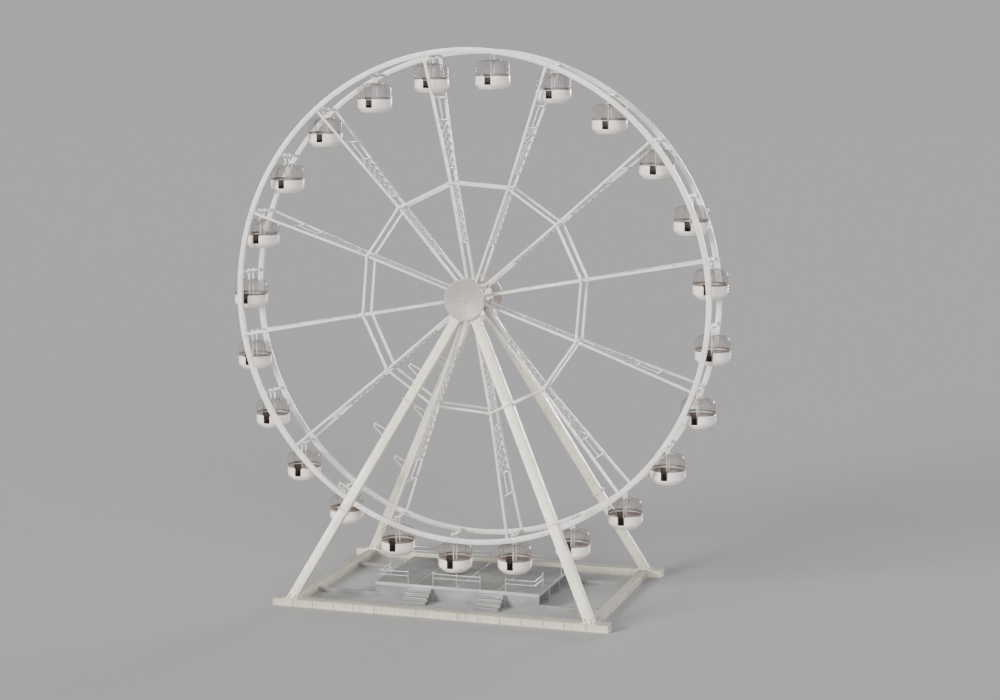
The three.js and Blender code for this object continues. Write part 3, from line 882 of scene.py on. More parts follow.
parts = list(arcs)
spots = []
for i in range(CABINS // RIM_SEGMENTS):
    angle = i * math.tau / CABINS
    parts.append(tube("beam", along_y(PIVOT_R, angle, -RIM_Y), along_y(PIVOT_R, angle, RIM_Y), BEAM_R, 20))
    for side in (-1, 1):
        for y, radius, thick in (BEAM_FLANGE, COLLAR):
            parts.append(ring_on_beam(angle, side * y, radius, thick))
        for x, z in on_circle(BEAM_BOLTS, BEAM_BOLT_CIRCLE, angle):
            spot = along_y(PIVOT_R, angle, side * BEAM_BOLT_Y) + Vector((x, 0, z))
            spots.append(pointing(spot, (0, -side, 0)))
    if i % 2:
        continue
    # A stretch of the rim is straight enough here to be covered by flat splice plates.
    along = Vector((-math.sin(angle), 0, math.cos(angle)))
    for side in (-1, 1):
        y = side * (RIM_OUTSIDE_Y + SPLICE_LIFT)
        middle = along_y(PIVOT_R, angle, y)
        parts.append(plate("splice", middle, along * SPLICE_HALF, SPLICE_WIDE, SPLICE_THICK, Y_SIDE))
        for u, v in SPLICE_BOLTS:
            spot = along_y(PIVOT_R + v, angle, y + side * SPLICE_LIFT) + along * u
            spots.append(pointing(spot, (0, side, 0)))
rim = smooth(dress(bevel(join(parts, "rim"), 0.006, degrees=60), rim_paint))
rim_bolts = bolts("rim_bolts", 0.015, 0.016, spots)
print("rim faces", len(rim.data.polygons), "bolts", len(spots))

turns = {numbered("rim_segment", i): wheel_turn(i * SWEEP) for i in range(RIM_SEGMENTS)}
patterns = {"arc": rim, "bolts": rim_bolts}
hand_over_copies(turns, "wheel", "rim_paint", patterns, stand_in="arc")
discard(*patterns.values())

# %% [markdown]
# ## The tub of a cabin
# The lower half of a cabin is a round fibreglass tub, widest at the rim, with its lower edge drawn
# in to a smaller floor. It starts as a circle at the floor and is extruded upwards ring by ring,
# widened each time. The doorway is cut by deleting a few columns of faces. Only then does Solidify
# give the shell its wall, so that the door's edges get a wall too. Its material offset gives the
# new inner faces the next finish in the list, a dark brown that is painted shade inside the tub.

# %% Tub
CABIN_SIDES = 48
COLUMN = math.tau / CABIN_SIDES
TUB_R = 1.048
TUB_TOP = -1.505
DOOR_SILL = -2.02
DOOR_HALF_ANGLE = COLUMN * 3 / 2
TUB_RINGS = (
    (0.760, -2.280), (0.802, -2.266), (1.010, DOOR_SILL), (1.036, -1.975),
    (TUB_R, -1.925), (TUB_R, TUB_TOP - 0.060), (TUB_R, TUB_TOP - 0.005),
)


def ring_stack(name, rings, floor=False, lid=False):
    """A turned shape: a circle extruded up through a list of (radius, height) rings."""
    radius, height = rings[0]
    piece = add(
        "circle", name, vertices=CABIN_SIDES, radius=radius, fill_type="NGON" if floor else "NOTHING",
        location=(0, 0, height), rotation=(0, 0, COLUMN / 2),
    )
    edit(piece)
    pick("EDGE", lambda middle, edge: edge.is_boundary or edge.is_wire)
    for next_r, next_z in rings[1:]:
        bpy.ops.mesh.extrude_edges_move(TRANSFORM_OT_translate={"value": (0, 0, next_z - height)})
        if next_r != radius:
            grow = next_r / radius
            bpy.ops.transform.resize(value=(grow, grow, 1), center_override=(0, 0, 0))
        radius, height = next_r, next_z
    if lid:
        bpy.ops.mesh.edge_face_add()
    done_outward()
    return piece


def towards_door(place, half_angle=DOOR_HALF_ANGLE):
    return abs(math.atan2(place.x, -place.y)) < half_angle


tub = ring_stack("tub", TUB_RINGS, floor=True)
cut_away(tub, lambda centre: centre.z > DOOR_SILL and towards_door(centre))
# The second finish goes on the inner faces: the dark brown painted shade.
dress(tub, cabin_white, tub_inside_painted_shade)
modify(tub, "SOLIDIFY", thickness=0.05, offset=-1, use_even_offset=True, material_offset=1)
bevel(tub, 0.012, segments=3)
print("tub faces", len(tub.data.polygons))

# %% [markdown]
# A moulded edge finishes the tub: a round bead along the top of the wall that stops at the doorway.
# A torus gives the bead, the part over the doorway is deleted, and its two open ends are filled. Two
# low ribs run round the wall below it, which is how such mouldings are stiffened.

# %% Bead and ribs
RIB_HEIGHTS = (-1.66, -1.80)


def open_hoop(name, radius, thickness, height, half_angle, sides):
    """A torus with the doorway cut out and its ends closed."""
    piece = add(
        "torus", name, major_radius=radius, minor_radius=thickness, major_segments=CABIN_SIDES * 2,
        minor_segments=sides, location=(0, 0, height), rotation=(0, 0, COLUMN / 4),
    )
    cut_away(piece, lambda centre: towards_door(centre, half_angle))
    edit(piece)
    for side in (-1, 1):
        pick_border(lambda middle: side * middle.x > 0)
        bpy.ops.mesh.edge_face_add()
    done_outward()
    return dress(piece, cabin_white)


hoops = [open_hoop("bead", TUB_R - 0.022, 0.034, TUB_TOP, DOOR_HALF_ANGLE + 0.01, 10)]
for height in RIB_HEIGHTS:
    hoops.append(open_hoop("rib", TUB_R - 0.003, 0.014, height, DOOR_HALF_ANGLE + 0.03, 6))
shell = smooth(join([tub] + hoops, "cabin_tub"))
print("tub with bead", len(shell.data.polygons))

# %% [markdown]
# ## Seat and floor
# Inside the tub a bench runs all the way round, broken only by the doorway, with a padded top and a
# boxed front. It is a ring stack again: up the front, over the rounded edge of the cushion, and back
# to the wall. The seams of the padding are left when the seat faces between them are inset.

# %% Bench and floor
BENCH_RINGS = (
    (0.560, -2.228), (0.540, -1.930), (0.515, -1.900), (0.512, -1.865),
    (0.540, -1.838), (0.600, -1.830), (0.900, -1.840), (0.990, -1.850),
)
FLOOR_RINGS = (
    (0.300, -2.2295), (0.660, -2.2295), (0.675, -2.2245), (0.670, -2.2150), (0.640, -2.2135),
)
PAD_LOW = -1.87
PAD_INNER_R = 0.56
COLUMNS_A_PAD = 4


def on_pad(centre, face):
    column = round(math.atan2(centre.y, centre.x) / COLUMN)
    return centre.z > PAD_LOW and centre.xy.length > PAD_INNER_R and column % COLUMNS_A_PAD != 0


bench = ring_stack("bench", BENCH_RINGS)
bench.data.flip_normals()
cut_away(bench, lambda centre: towards_door(centre, DOOR_HALF_ANGLE + 0.15))
edit(bench)
pick("FACE", on_pad)
bpy.ops.mesh.inset(thickness=0.02, depth=0.012)
done()
modify(bench, "SOLIDIFY", thickness=0.02, offset=-1)
modify(bench, "SUBSURF", levels=1, render_levels=1)
smooth(dress(bench, seat_vinyl), 60)
floor_mat = dress(ring_stack("floor_mat", FLOOR_RINGS, floor=True, lid=True), cabin_floor)
print("bench faces", len(bench.data.polygons))

# %% [markdown]
# ## Canopy
# Over the tub stands a bell of smoked clear sheet with an opaque crown, whose dark colour is painted
# shade. Through the sheet one sees the two hanger tubes, just as in the photograph. The bell is a
# ring stack that is open at the bottom: the rings follow the curve of the shoulder, and Solidify
# gives it the few millimetres of real sheet. It is turned by half a column, so that the opening
# above the doorway is four columns wide.

# %% Canopy sheet and crown
CANOPY_R = 1.035
CANOPY_LOW = -1.400
CANOPY_RINGS = (
    (CANOPY_R, CANOPY_LOW), (CANOPY_R, -1.100), (CANOPY_R, -0.900),
    (1.028, -0.830), (1.006, -0.765), (0.966, -0.705), (0.905, -0.650),
    (0.825, -0.607), (0.720, -0.570), (0.610, -0.545), (0.480, -0.528),
)
CROWN_RINGS = (
    (0.430, -0.556), (0.500, -0.552), (0.516, -0.536),
    (0.512, -0.517), (0.480, -0.505), (0.150, -0.499),
)
CANOPY_DOOR = 2 * COLUMN
CANOPY_DOOR_TOP = -0.765
HALF_COLUMN = Matrix.Rotation(COLUMN / 2, 4, "Z")

canopy = ring_stack("canopy", CANOPY_RINGS)
canopy.data.transform(HALF_COLUMN)
cut_away(canopy, lambda centre: centre.z < CANOPY_DOOR_TOP and towards_door(centre, CANOPY_DOOR))
modify(canopy, "SOLIDIFY", thickness=0.006, offset=-1, use_even_offset=True)
smooth(dress(canopy, canopy_clear), 60)
# The crown's dark finish is painted shade.
crown = smooth(dress(ring_stack("crown", CROWN_RINGS, floor=True, lid=True), crown_painted_shade))
outward = sum(1 for face in canopy.data.polygons if face.normal.xy.dot(face.center.xy) > 0)
print("canopy faces", len(canopy.data.polygons), "facing out", outward)

# %% [markdown]
# The sheet is held by dark frame bars: a band where it stands in the tub, one bar over each seam
# between two panels, and a frame round the doorway. A bar follows the bell, so it is a narrow strip
# of the same rings: all columns but one are deleted, what is left is narrowed and thickened.

# %% Canopy frame
SEAM_AZIMUTHS = (-120, -60, 60, 120, 180)
BAR_WIDE = 0.024
BAR_THICK = 0.016
BAR_OFFSET = 0.4
BAND_R = CANOPY_R + 0.006
BAND_RINGS = ((BAND_R, TUB_TOP), (BAND_R, CANOPY_LOW), (BAND_R, -1.340))
HEAD_RINGS = ((1.012, -0.780), (1.002, -0.750))


def seam_bar(azimuth):
    """A strip of the bell at an azimuth measured from the doorway."""
    piece = ring_stack("seam_bar", CANOPY_RINGS)
    cut_away(piece, lambda centre: not towards_door(centre, COLUMN / 2))
    for corner in piece.data.vertices:
        corner.co.x = math.copysign(BAR_WIDE / 2, corner.co.x)
    modify(piece, "SOLIDIFY", thickness=BAR_THICK, offset=BAR_OFFSET)
    piece.data.transform(Matrix.Rotation(math.radians(azimuth), 4, "Z"))
    return piece


def foot_band():
    piece = ring_stack("foot_band", BAND_RINGS)
    piece.data.transform(HALF_COLUMN)
    cut_away(piece, lambda centre: towards_door(centre, CANOPY_DOOR))
    return modify(piece, "SOLIDIFY", thickness=0.014, offset=-1)


def door_frame():
    """Two posts on the bell, joined by a head that follows the curve."""
    posts = [seam_bar(side * math.degrees(CANOPY_DOOR)) for side in (-1, 1)]
    head = ring_stack("head", HEAD_RINGS)
    head.data.transform(HALF_COLUMN)
    cut_away(head, lambda centre: not towards_door(centre, CANOPY_DOOR))
    return posts + [modify(head, "SOLIDIFY", thickness=BAR_THICK, offset=BAR_OFFSET)]


frame_parts = [foot_band()] + door_frame() + [seam_bar(azimuth) for azimuth in SEAM_AZIMUTHS]
bars = bevel(join(frame_parts, "bars"), 0.002, segments=1, degrees=60)
canopy_frame = join([smooth(dress(bars, canopy_trim)), crown], "canopy_frame")
print("canopy frame faces", len(canopy_frame.data.polygons), "finishes", len(canopy_frame.data.materials))

# %% [markdown]
# ## Hanger
# The hanger is the part that takes the load: a sleeve round the beam, with two tubes that go down
# through the canopy's crown to the floor. Short tubes with bevelled edges make the flanges, and two
# slanting ribs brace each tube against the sleeve.

# %% Hanger
HANGER_Y = 0.30
HANGER_R = 0.045
HANGER_TOP = -0.10
HANGER_FOOT = -2.2295
SLEEVE_R = 0.135
END_RING_R = 0.155
END_RING_Y = SLEEVE_HALF - 0.02
END_RING_HALF = 0.018
HANGER_RIB = (0.014, 0.06)
# The flanges on a hanger tube: the lower and the upper face, and the radius.
HANGER_FLANGES = (
    (HANGER_FOOT, HANGER_FOOT + 0.034, 0.10),
    (-0.505, -0.475, 0.085),
)

parts = [tube("sleeve", (0, -SLEEVE_HALF, 0), (0, SLEEVE_HALF, 0), SLEEVE_R, 32)]
for side in (-1, 1):
    y = side * HANGER_Y
    ring_low, ring_high = side * END_RING_Y - END_RING_HALF, side * END_RING_Y + END_RING_HALF
    parts.append(tube("hanger", (0, y, HANGER_FOOT), (0, y, HANGER_TOP), HANGER_R, 16))
    parts.append(tube("end_ring", (0, ring_low, 0), (0, ring_high, 0), END_RING_R, 32))
    for lean in (-1, 1):
        parts.append(bar("rib", (lean * 0.03, y, -0.30), (lean * 0.12, y, -0.05), *HANGER_RIB, Y_SIDE))
    for low, high, radius in HANGER_FLANGES:
        parts.append(tube("flange", (0, y, low), (0, y, high), radius, 20))
hanger = smooth(dress(bevel(join(parts, "cabin_hanger"), 0.006), rim_paint))
print("hanger faces", len(hanger.data.polygons))

# %% [markdown]
# ## Twenty-four cabins
# The parts are now copied to each beam. A cabin hangs straight down wherever its beam is, so a copy
# is only moved and never turned. Each set rides on its own body, which swings on its own axle while
# the wheel turns.

# %% Copy the cabins
CABIN_PARTS = {
    "tub": (shell, "cabin_shell"),
    "canopy": (canopy, "cabin_shell"),
    "frame": (canopy_frame, "cabin_shell"),
    "hanger": (hanger, "rim_paint"),
    "bench": (bench, "cabin_shell"),
    "mat": (floor_mat, "cabin_shell"),
}
for i in range(CABINS):
    body = numbered("cabin", i)
    spot = Matrix.Translation(cabin_pivot(i))
    for part, (pattern, slot) in CABIN_PARTS.items():
        stands_for = [body] if part == "tub" else []
        hand_over(copy_of(pattern, f"{body}_{part}", spot), body, slot, *stands_for)
discard(*[pattern for pattern, slot in CABIN_PARTS.values()])
print("cabins", CABINS)

# %% [markdown]
# ## The legs
# Four box legs lean in from both sides and carry the shaft. Their ends are cut level, so a leg is a
# cube whose lower face is pushed out sideways: that shears it, where turning it would tilt the cut
# ends. Each leg is made of lengths that meet in bolted flanges, and has a foot plate with gussets.
# The flanges stand square to the leg's own axis.

# %% Box legs with flanges
LEG_SLOPE = Vector((0.521, 0.326))
LEG_TOP_Y = 0.967
LEG_WIDE = 0.62
LEG_DEEP = 0.50
LEG_TOP_DROP = 1.3003
LEG_FOOT_DROP = 17.7497
LEG_JOINTS = (6.1, 12.6)
FLANGE_SHIFTS = (-0.0185, 0.0185)
FLANGE_THICK = 0.035
FLANGE_REACH = 0.07
# The collar near the top: its drop, its shift along the leg, its thickness and how far it stands out.
TOP_COLLAR = (LEG_TOP_DROP + 0.36, 0, 0.03, 0.03)
# How far a leg measures across, square to its own axis, as a share of its level section.
SQUARE_WIDE = 0.89
SQUARE_DEEP = 0.95
# The bolts round a joint, as shares of the half width and half depth that they stand on.
BOLTS_WIDE = 0.31
BOLTS_DEEP = 0.275
BOLTS_ROUND = [(u, v) for u in (-0.9, -0.3, 0.3, 0.9) for v in (-1, 1)]
BOLTS_ROUND += [(u, v) for v in (-0.4, 0.4) for u in (-1, 1)]
FOOT_PLATE = (0.98, 0.78, 0.035)
FOOT_BOLTS = [(x, y) for x in (-0.42, 0.42) for y in (-0.31, 0, 0.31)]
FOOT_GUSSET = (0.02, 0.11)
FOOT_GUSSET_X = 0.17
FOOT_GUSSET_Y = LEG_DEEP / 2 + 0.055
FOOT_GUSSET_LONG = 0.26


def leg_point(drop):
    """The middle of the rear right leg at a drop below the shaft."""
    return Vector((LEG_SLOPE.x * drop, LEG_TOP_Y + LEG_SLOPE.y * drop, HUB_Z - drop))


leg_top, leg_foot = leg_point(LEG_TOP_DROP), leg_point(LEG_FOOT_DROP)
LEG_AXIS = (leg_foot - leg_top).normalized()


def leg_column():
    middle = (leg_top.x, leg_top.y, (leg_top.z + leg_foot.z) / 2)
    piece = add("cube", "leg", size=1, scale=(LEG_WIDE, LEG_DEEP, leg_top.z - leg_foot.z), location=middle)
    edit(piece)
    pick_facing(-UP)
    bpy.ops.transform.translate(value=(leg_foot.x - leg_top.x, leg_foot.y - leg_top.y, 0))
    done()
    return piece


def leg_flange(drop, shift, thick=FLANGE_THICK, reach=FLANGE_REACH):
    middle = leg_point(drop) + LEG_AXIS * shift
    wide, deep = LEG_WIDE * SQUARE_WIDE + 2 * reach, LEG_DEEP * SQUARE_DEEP + 2 * reach
    return plate("leg_flange", middle, LEG_AXIS * thick / 2, wide, deep, Y_SIDE)


def joint_bolt_spots(drop):
    """Where the bolts of one flange pair stand, on both of its sides."""
    turn = placed_along(leg_top, leg_foot, Y_SIDE).to_3x3()
    spots = []
    for u, v in BOLTS_ROUND:
        place = leg_point(drop) + turn @ Vector((u * BOLTS_WIDE, v * BOLTS_DEEP, 0))
        spots.append(pointing(place + LEG_AXIS * FLANGE_THICK, LEG_AXIS))
        spots.append(pointing(place - LEG_AXIS * FLANGE_THICK, -LEG_AXIS))
    return spots


def foot_plates():
    wide, deep, thick = FOOT_PLATE
    parts = [bar("foot_plate", leg_foot, leg_foot + UP * thick, wide, deep, Y_SIDE)]
    for side in (-1, 1):
        for x in (-FOOT_GUSSET_X, FOOT_GUSSET_X):
            low = leg_foot + Vector((x, side * FOOT_GUSSET_Y, 0.03))
            lean = Vector((LEG_SLOPE.x, LEG_SLOPE.y, -1)) * -FOOT_GUSSET_LONG
            parts.append(bar("foot_gusset", low, low + lean, *FOOT_GUSSET, Y_SIDE))
    return parts


parts = [leg_column()]
spots = []
for drop in LEG_JOINTS:
    parts += [leg_flange(drop, shift) for shift in FLANGE_SHIFTS]
    spots += joint_bolt_spots(drop)
parts.append(leg_flange(*TOP_COLLAR))
parts += foot_plates()
spots += [pointing(leg_foot + Vector((x, y, FOOT_PLATE[2])), UP) for x, y in FOOT_BOLTS]
leg = smooth(dress(bevel(join(parts, "leg"), 0.012), leg_paint))
leg_bolts = bolts("leg_bolts", 0.024, 0.026, spots)
print("leg faces", len(leg.data.polygons), "bolts", len(spots))

# %% [markdown]
# Three small loops stand out from each of the two left legs. They are bent from one tube, out from
# the leg, round a blunt tip and back. A bent tube is modelled like a real one: a round face is
# extruded along each straight, and spun through each bend.

# %% Bent tubes and the brackets
BEND_STEPS = 6


def pipe(name, points, radius, bend, sides=14):
    """A tube along a path. Each corner is spun with the bend radius."""
    points = [Vector(point) for point in points]
    heading = (points[1] - points[0]).normalized()
    piece = add("circle", name, vertices=sides, radius=radius, fill_type="NGON")
    piece.data.transform(pointing(points[0], heading))
    edit(piece)
    bpy.ops.mesh.select_all(action="SELECT")
    here = points[0]
    for corner, following in zip(points[1:], points[2:]):
        next_heading = (following - corner).normalized()
        turn = heading.angle(next_heading)
        setback = bend * math.tan(turn / 2)
        extrude(corner - heading * setback - here)
        here = corner - heading * setback
        inward = (next_heading - heading * heading.dot(next_heading)).normalized()
        axis = heading.cross(next_heading).normalized()
        bpy.ops.mesh.spin(steps=BEND_STEPS, angle=turn, center=here + inward * bend, axis=axis)
        here = corner + next_heading * setback
        heading = next_heading
    extrude(points[-1] - here)
    done_outward(weld=True)
    return piece


BRACKET_DROPS = (4.35, 7.90, 11.45)
BRACKET_REACH = 1.21
BRACKET_ROOT = 0.54
BRACKET_TIP = 0.17
BRACKET_R = 0.038
BRACKET_BEND = 0.08


def bracket(drop):
    """A loop in an upright plane, drawn on the rear right leg and pointing away from the shaft."""
    slant = math.hypot(1, LEG_SLOPE.x)
    down = Vector((LEG_SLOPE.x, 0, -1)) / slant
    out = Vector((1, 0, LEG_SLOPE.x)) / slant
    root = leg_point(drop) + down * 0.04
    tip = root + out * BRACKET_REACH
    corners = [root, tip, tip + down * BRACKET_TIP, root + down * BRACKET_ROOT]
    return pipe("bracket", corners, BRACKET_R, BRACKET_BEND, 12)


brackets = smooth(dress(join([bracket(drop) for drop in BRACKET_DROPS], "brackets"), leg_paint), 50)
LEG_SIDES = {
    "leg_front_left": Matrix.Diagonal((-1, -1, 1, 1)),
    "leg_front_right": Matrix.Diagonal((1, -1, 1, 1)),
    "leg_rear_left": Matrix.Diagonal((-1, 1, 1, 1)),
    "leg_rear_right": Matrix.Diagonal((1, 1, 1, 1)),
}
patterns = {"box": leg, "bolts": leg_bolts}
for name, mirror in LEG_SIDES.items():
    hand_over_copies({name: mirror}, "stand", "leg_paint", patterns, stand_in="box")
    if name.endswith("left"):
        hand_over_copies({name: mirror}, "stand", "leg_paint", {"brackets": brackets})
discard(brackets, *patterns.values())
print("legs", len(LEG_SIDES))

# %% [markdown]
# ## The engineering nodes that stay
# Bearings, side ground beams, tie rings, hub and deck have the right shape already. They only need
# softer corners and a finish. Their meshes are loose triangles, so three live modifiers do it
# without touching the mesh: Weld joins the triangles, a planar Decimate removes the lines between
# them, and Bevel rounds what is left and paints it with the worn-edge finish.

# %% Soften and dress the frame's nodes
NODE_FINISH = {
    "bearing_": (leg_paint, leg_edge, 0.02),
    "ground_beam_left": (base_paint, base_edge, 0.015),
    "ground_beam_right": (base_paint, base_edge, 0.015),
    "tie_ring_": (spoke_paint, spoke_edge, 0.01),
    "hub": (hub_paint, hub_edge, 0.02),
    "boarding_deck": (deck_plate, base_edge, 0.006),
}


def soften(piece, width):
    weld = piece.modifiers.new("weld", "WELD")
    weld.merge_threshold = 0.0002
    flat = piece.modifiers.new("flat", "DECIMATE")
    flat.decimate_type = "DISSOLVE"
    flat.angle_limit = math.radians(1)
    soft = piece.modifiers.new("soft", "BEVEL")
    soft.width = width
    soft.segments = 2
    soft.limit_method = "ANGLE"
    soft.angle_limit = math.radians(25)
    soft.material = 1


for node_name, cad_node in cad_nodes.items():
    for start, (coat, edge, width) in NODE_FINISH.items():
        if node_name.startswith(start) and not node_name.startswith("hub_cover"):
            dress(cad_node, coat, edge)
            soften(cad_node, width)
print("softened", sum(1 for cad_node in cad_nodes.values() if cad_node.modifiers))

# %% [markdown]
# ## Fittings on the stand
# The plain nodes get the fittings that a welder and an erector would leave on them. The bearings
# have a bolted ring round the shaft and stiffening ribs up their sides. Each fitting is made once
# and mirrored to its other places, and all of them ride on the stand.

# %% Bearing rings and ribs
HOUSING_IN_Y = 0.86
HOUSING_OUT_Y = 1.66
HOUSING_EDGE = ((1.0, -1.3), (1.0, -0.9), (0.62, 0.2), (0.35, 0.56), (-0.35, 0.56))
RING_R = 0.46
RING_FACE_Y = HOUSING_IN_Y - 0.045
RING_BACK_Y = HOUSING_IN_Y - 0.0005
# The ring's front is a flat, a step and a second flat, and its back one flat, down to the same bore.
RING_FLAT = 0.12
RING_STEP = 0.015
RING_SECOND_FLAT = 0.064
RING_BOLT_CIRCLE = 0.40
HOUSING_RIB = (0.045, 0.03)
HOUSING_RIB_LIFT = 0.022


def at_hub(x, y, z):
    return Vector((x, y, HUB_Z + z))


def bearing_ring():
    piece = tube("bearing_ring", at_hub(0, RING_FACE_Y, 0), at_hub(0, RING_BACK_Y, 0), RING_R, 48)
    edit(piece)
    pick_facing(-Y_SIDE)
    bpy.ops.mesh.inset(thickness=RING_FLAT, depth=0.0)
    bpy.ops.mesh.inset(thickness=RING_STEP, depth=-0.012)
    bpy.ops.mesh.inset(thickness=RING_SECOND_FLAT, depth=0.0)
    bpy.ops.mesh.delete(type="FACE")
    pick_facing(Y_SIDE)
    bpy.ops.mesh.inset(thickness=RING_FLAT + RING_STEP + RING_SECOND_FLAT)
    bpy.ops.mesh.delete(type="FACE")
    pick_border()
    bpy.ops.mesh.bridge_edge_loops()
    done_outward()
    return piece


def housing_ribs():
    """Flat bars wrapped round the housing's edge, near its inner and its outer face."""
    parts = []
    corners = HOUSING_EDGE + tuple((-x, z) for x, z in reversed(HOUSING_EDGE[:3]))
    for y in (HOUSING_IN_Y + 0.05, HOUSING_OUT_Y - 0.05):
        for (x0, z0), (x1, z1) in zip(corners, corners[1:]):
            lift = Vector((z0 - z1, 0, x1 - x0)).normalized() * HOUSING_RIB_LIFT
            start, end = at_hub(x0, y, z0) + lift, at_hub(x1, y, z1) + lift
            parts.append(bar("housing_rib", start, end, *HOUSING_RIB, Y_SIDE))
    return parts


bearing = smooth(dress(bevel(join([bearing_ring()] + housing_ribs(), "bearing_trim"), 0.006), leg_paint))
spots = [pointing(at_hub(x, RING_FACE_Y, z), (0, -1, 0)) for x, z in on_circle(12, RING_BOLT_CIRCLE)]
ring_bolts = bolts("ring_bolts", 0.018, 0.018, spots)
print("bearing trim faces", len(bearing.data.polygons), "bolts", len(spots))
patterns = {"trim": bearing, "bolts": ring_bolts}
hand_over_copies(front_and_rear("bearing"), "stand", "leg_paint", patterns)
discard(*patterns.values())

# %% [markdown]
# ## The ground frame
# The two long beams under the feet are box girders with a panelled outer side: a recessed plate
# between two flanges, stiffened every metre or so. A cube is cut into bays by bisecting it, and the
# faces of the outer side are inset one by one and pushed in.

# %% Long ground beams
BEAM_TOP = 0.45
BEAM_END = 10.4
BEAM_Y = 6.7534
BEAM_WIDE = 0.80
BEAM_BAYS = 16


def ground_beam():
    """The rear beam, with its panelled side facing away from the wheel."""
    size = (2 * BEAM_END, BEAM_WIDE, BEAM_TOP)
    piece = add("cube", "ground_beam", size=1, scale=size, location=(0, BEAM_Y, BEAM_TOP / 2))
    edit(piece)
    for i in range(1, BEAM_BAYS):
        bpy.ops.mesh.select_all(action="SELECT")
        x = (2 * i / BEAM_BAYS - 1) * BEAM_END
        bpy.ops.mesh.bisect(plane_co=(x, BEAM_Y, 0), plane_no=(1, 0, 0))
    pick_facing(Y_SIDE)
    bpy.ops.mesh.inset(thickness=0.022, depth=-0.055, use_individual=True)
    pick("FACE", lambda centre, face: abs(face.normal.x) > 0.9 and abs(centre.x) > BEAM_END - 0.001)
    bpy.ops.mesh.inset(thickness=0.05, depth=0.0, use_individual=True)
    bpy.ops.mesh.inset(thickness=0.012, depth=-0.02, use_individual=True)
    done()
    return smooth(dress(bevel(piece, 0.006), base_paint))


long_beam = ground_beam()
print("ground beam faces", len(long_beam.data.polygons))
patterns = {"girder": long_beam}
hand_over_copies(front_and_rear("ground_beam"), "stand", "base_paint", patterns, stand_in="girder")
discard(long_beam)

# %% [markdown]
# The ground frame is bolted together at its corners. One corner is modelled with its stiffening
# ribs, a lifting eye of bent rod and the two angles that join a long beam to a side beam, and
# mirrored to the other three.

# %% Ground frame fittings
FOOT_X = 9.2476
SIDE_WIDE = 0.50
INNER_FACE_Y = BEAM_Y - BEAM_WIDE / 2
RIB_INSET = 0.02
RIB_STANDS_OUT = 0.012
RIB_SIZE = (0.03, 0.024)
LONG_BEAM_RIBS = (2.6, 5.2, 7.8)
SIDE_BEAM_RIBS = (1.6, 3.2, 4.8)
EYE_X = (6.4, 6.62)
EYE_Z = (0.43, 0.60)
ANGLE_Y = INNER_FACE_Y - 0.013
ANGLE_Z = 0.225
ANGLE_TALL = 0.38
ANGLE_LONG = 0.20
ANGLE_THICK = 0.022
ANGLE_BOLTS_Z = (0.11, 0.225, 0.34)


def beam_trim():
    """Ribs, lifting eye and bolted angles at one corner of the ground frame."""
    rib_middle, rib_half = BEAM_TOP / 2, (0, 0, BEAM_TOP / 2 - RIB_INSET)
    rib_y = INNER_FACE_Y - RIB_STANDS_OUT
    rib_x = FOOT_X + SIDE_WIDE / 2 + RIB_STANDS_OUT
    parts = [plate("rib", (x, rib_y, rib_middle), rib_half, *RIB_SIZE, Y_SIDE) for x in LONG_BEAM_RIBS]
    parts += [plate("rib", (rib_x, y, rib_middle), rib_half, *RIB_SIZE, X_SIDE) for y in SIDE_BEAM_RIBS]
    parts.append(plate("joint", (0.081, BEAM_Y, BEAM_TOP + 0.006), (0, 0.39, 0), 0.012, 0.16, X_SIDE))
    (near, far), (low, high) = EYE_X, EYE_Z
    corners = [(near, BEAM_Y, low), (near, BEAM_Y, high), (far, BEAM_Y, high), (far, BEAM_Y, low)]
    parts.append(pipe("lifting_eye", corners, 0.018, 0.10, 10))
    for side in (-1, 1):
        x = FOOT_X + side * (SIDE_WIDE / 2 + 0.012)
        start, end = (x, ANGLE_Y, ANGLE_Z), (x, ANGLE_Y - ANGLE_LONG, ANGLE_Z)
        parts.append(bar("angle", start, end, ANGLE_TALL, ANGLE_THICK, X_SIDE))
        half = (0, 0, ANGLE_TALL / 2)
        middle = (x + side * ANGLE_LONG / 2, ANGLE_Y, ANGLE_Z)
        parts.append(plate("angle", middle, half, ANGLE_LONG, ANGLE_THICK, Y_SIDE))
    return join(parts, "beam_trim")


def angle_bolt_spots():
    spots = []
    for side in (-1, 1):
        x = FOOT_X + side * (SIDE_WIDE / 2 + 0.023)
        for z in ANGLE_BOLTS_Z:
            spots.append(pointing((x, ANGLE_Y - 0.12, z), (side, 0, 0)))
            spots.append(pointing((x + side * 0.11, ANGLE_Y - 0.011, z), (0, -1, 0)))
    return spots


trim = smooth(dress(bevel(beam_trim(), 0.005), base_paint))
beam_bolts = bolts("beam_bolts", 0.022, 0.022, angle_bolt_spots())
CORNERS = [Matrix.Diagonal((x, y, 1, 1)) for x in (-1, 1) for y in (-1, 1)]
for i, corner in enumerate(CORNERS):
    hand_over(copy_of(trim, numbered("beam_trim", i), corner), "stand", "base_paint")
    hand_over(copy_of(beam_bolts, numbered("beam_bolts", i), corner), "stand", "base_paint")
discard(trim, beam_bolts)
print("ground frame corners", len(CORNERS))

# %% [markdown]
# ## Hub ribs
# The drum at the middle of the wheel takes the pull of all the spokes. Its end faces are stiffened
# with a ribbed star: one rib behind each spoke, standing out from a ring. The star is the same on
# both faces, so it is made once and mirrored.

# %% Hub star
HUB_FACE_Y = 0.7203
RIB_HEIGHT = 0.045
RIB_THICK = 0.03
RIB_IN_R = 0.52
RIB_OUT_R = 0.93
STAR_RING = (0.54, 0.46, 48)


def star_rib(index):
    angle = REST + index * math.tau / SPOKES
    direction = Vector((math.cos(angle), 0, math.sin(angle)))
    middle = at_hub(0, HUB_FACE_Y + RIB_HEIGHT / 2, 0)
    start, end = middle + direction * RIB_IN_R, middle + direction * RIB_OUT_R
    return bar("star_rib", start, end, RIB_THICK, RIB_HEIGHT, Y_SIDE)


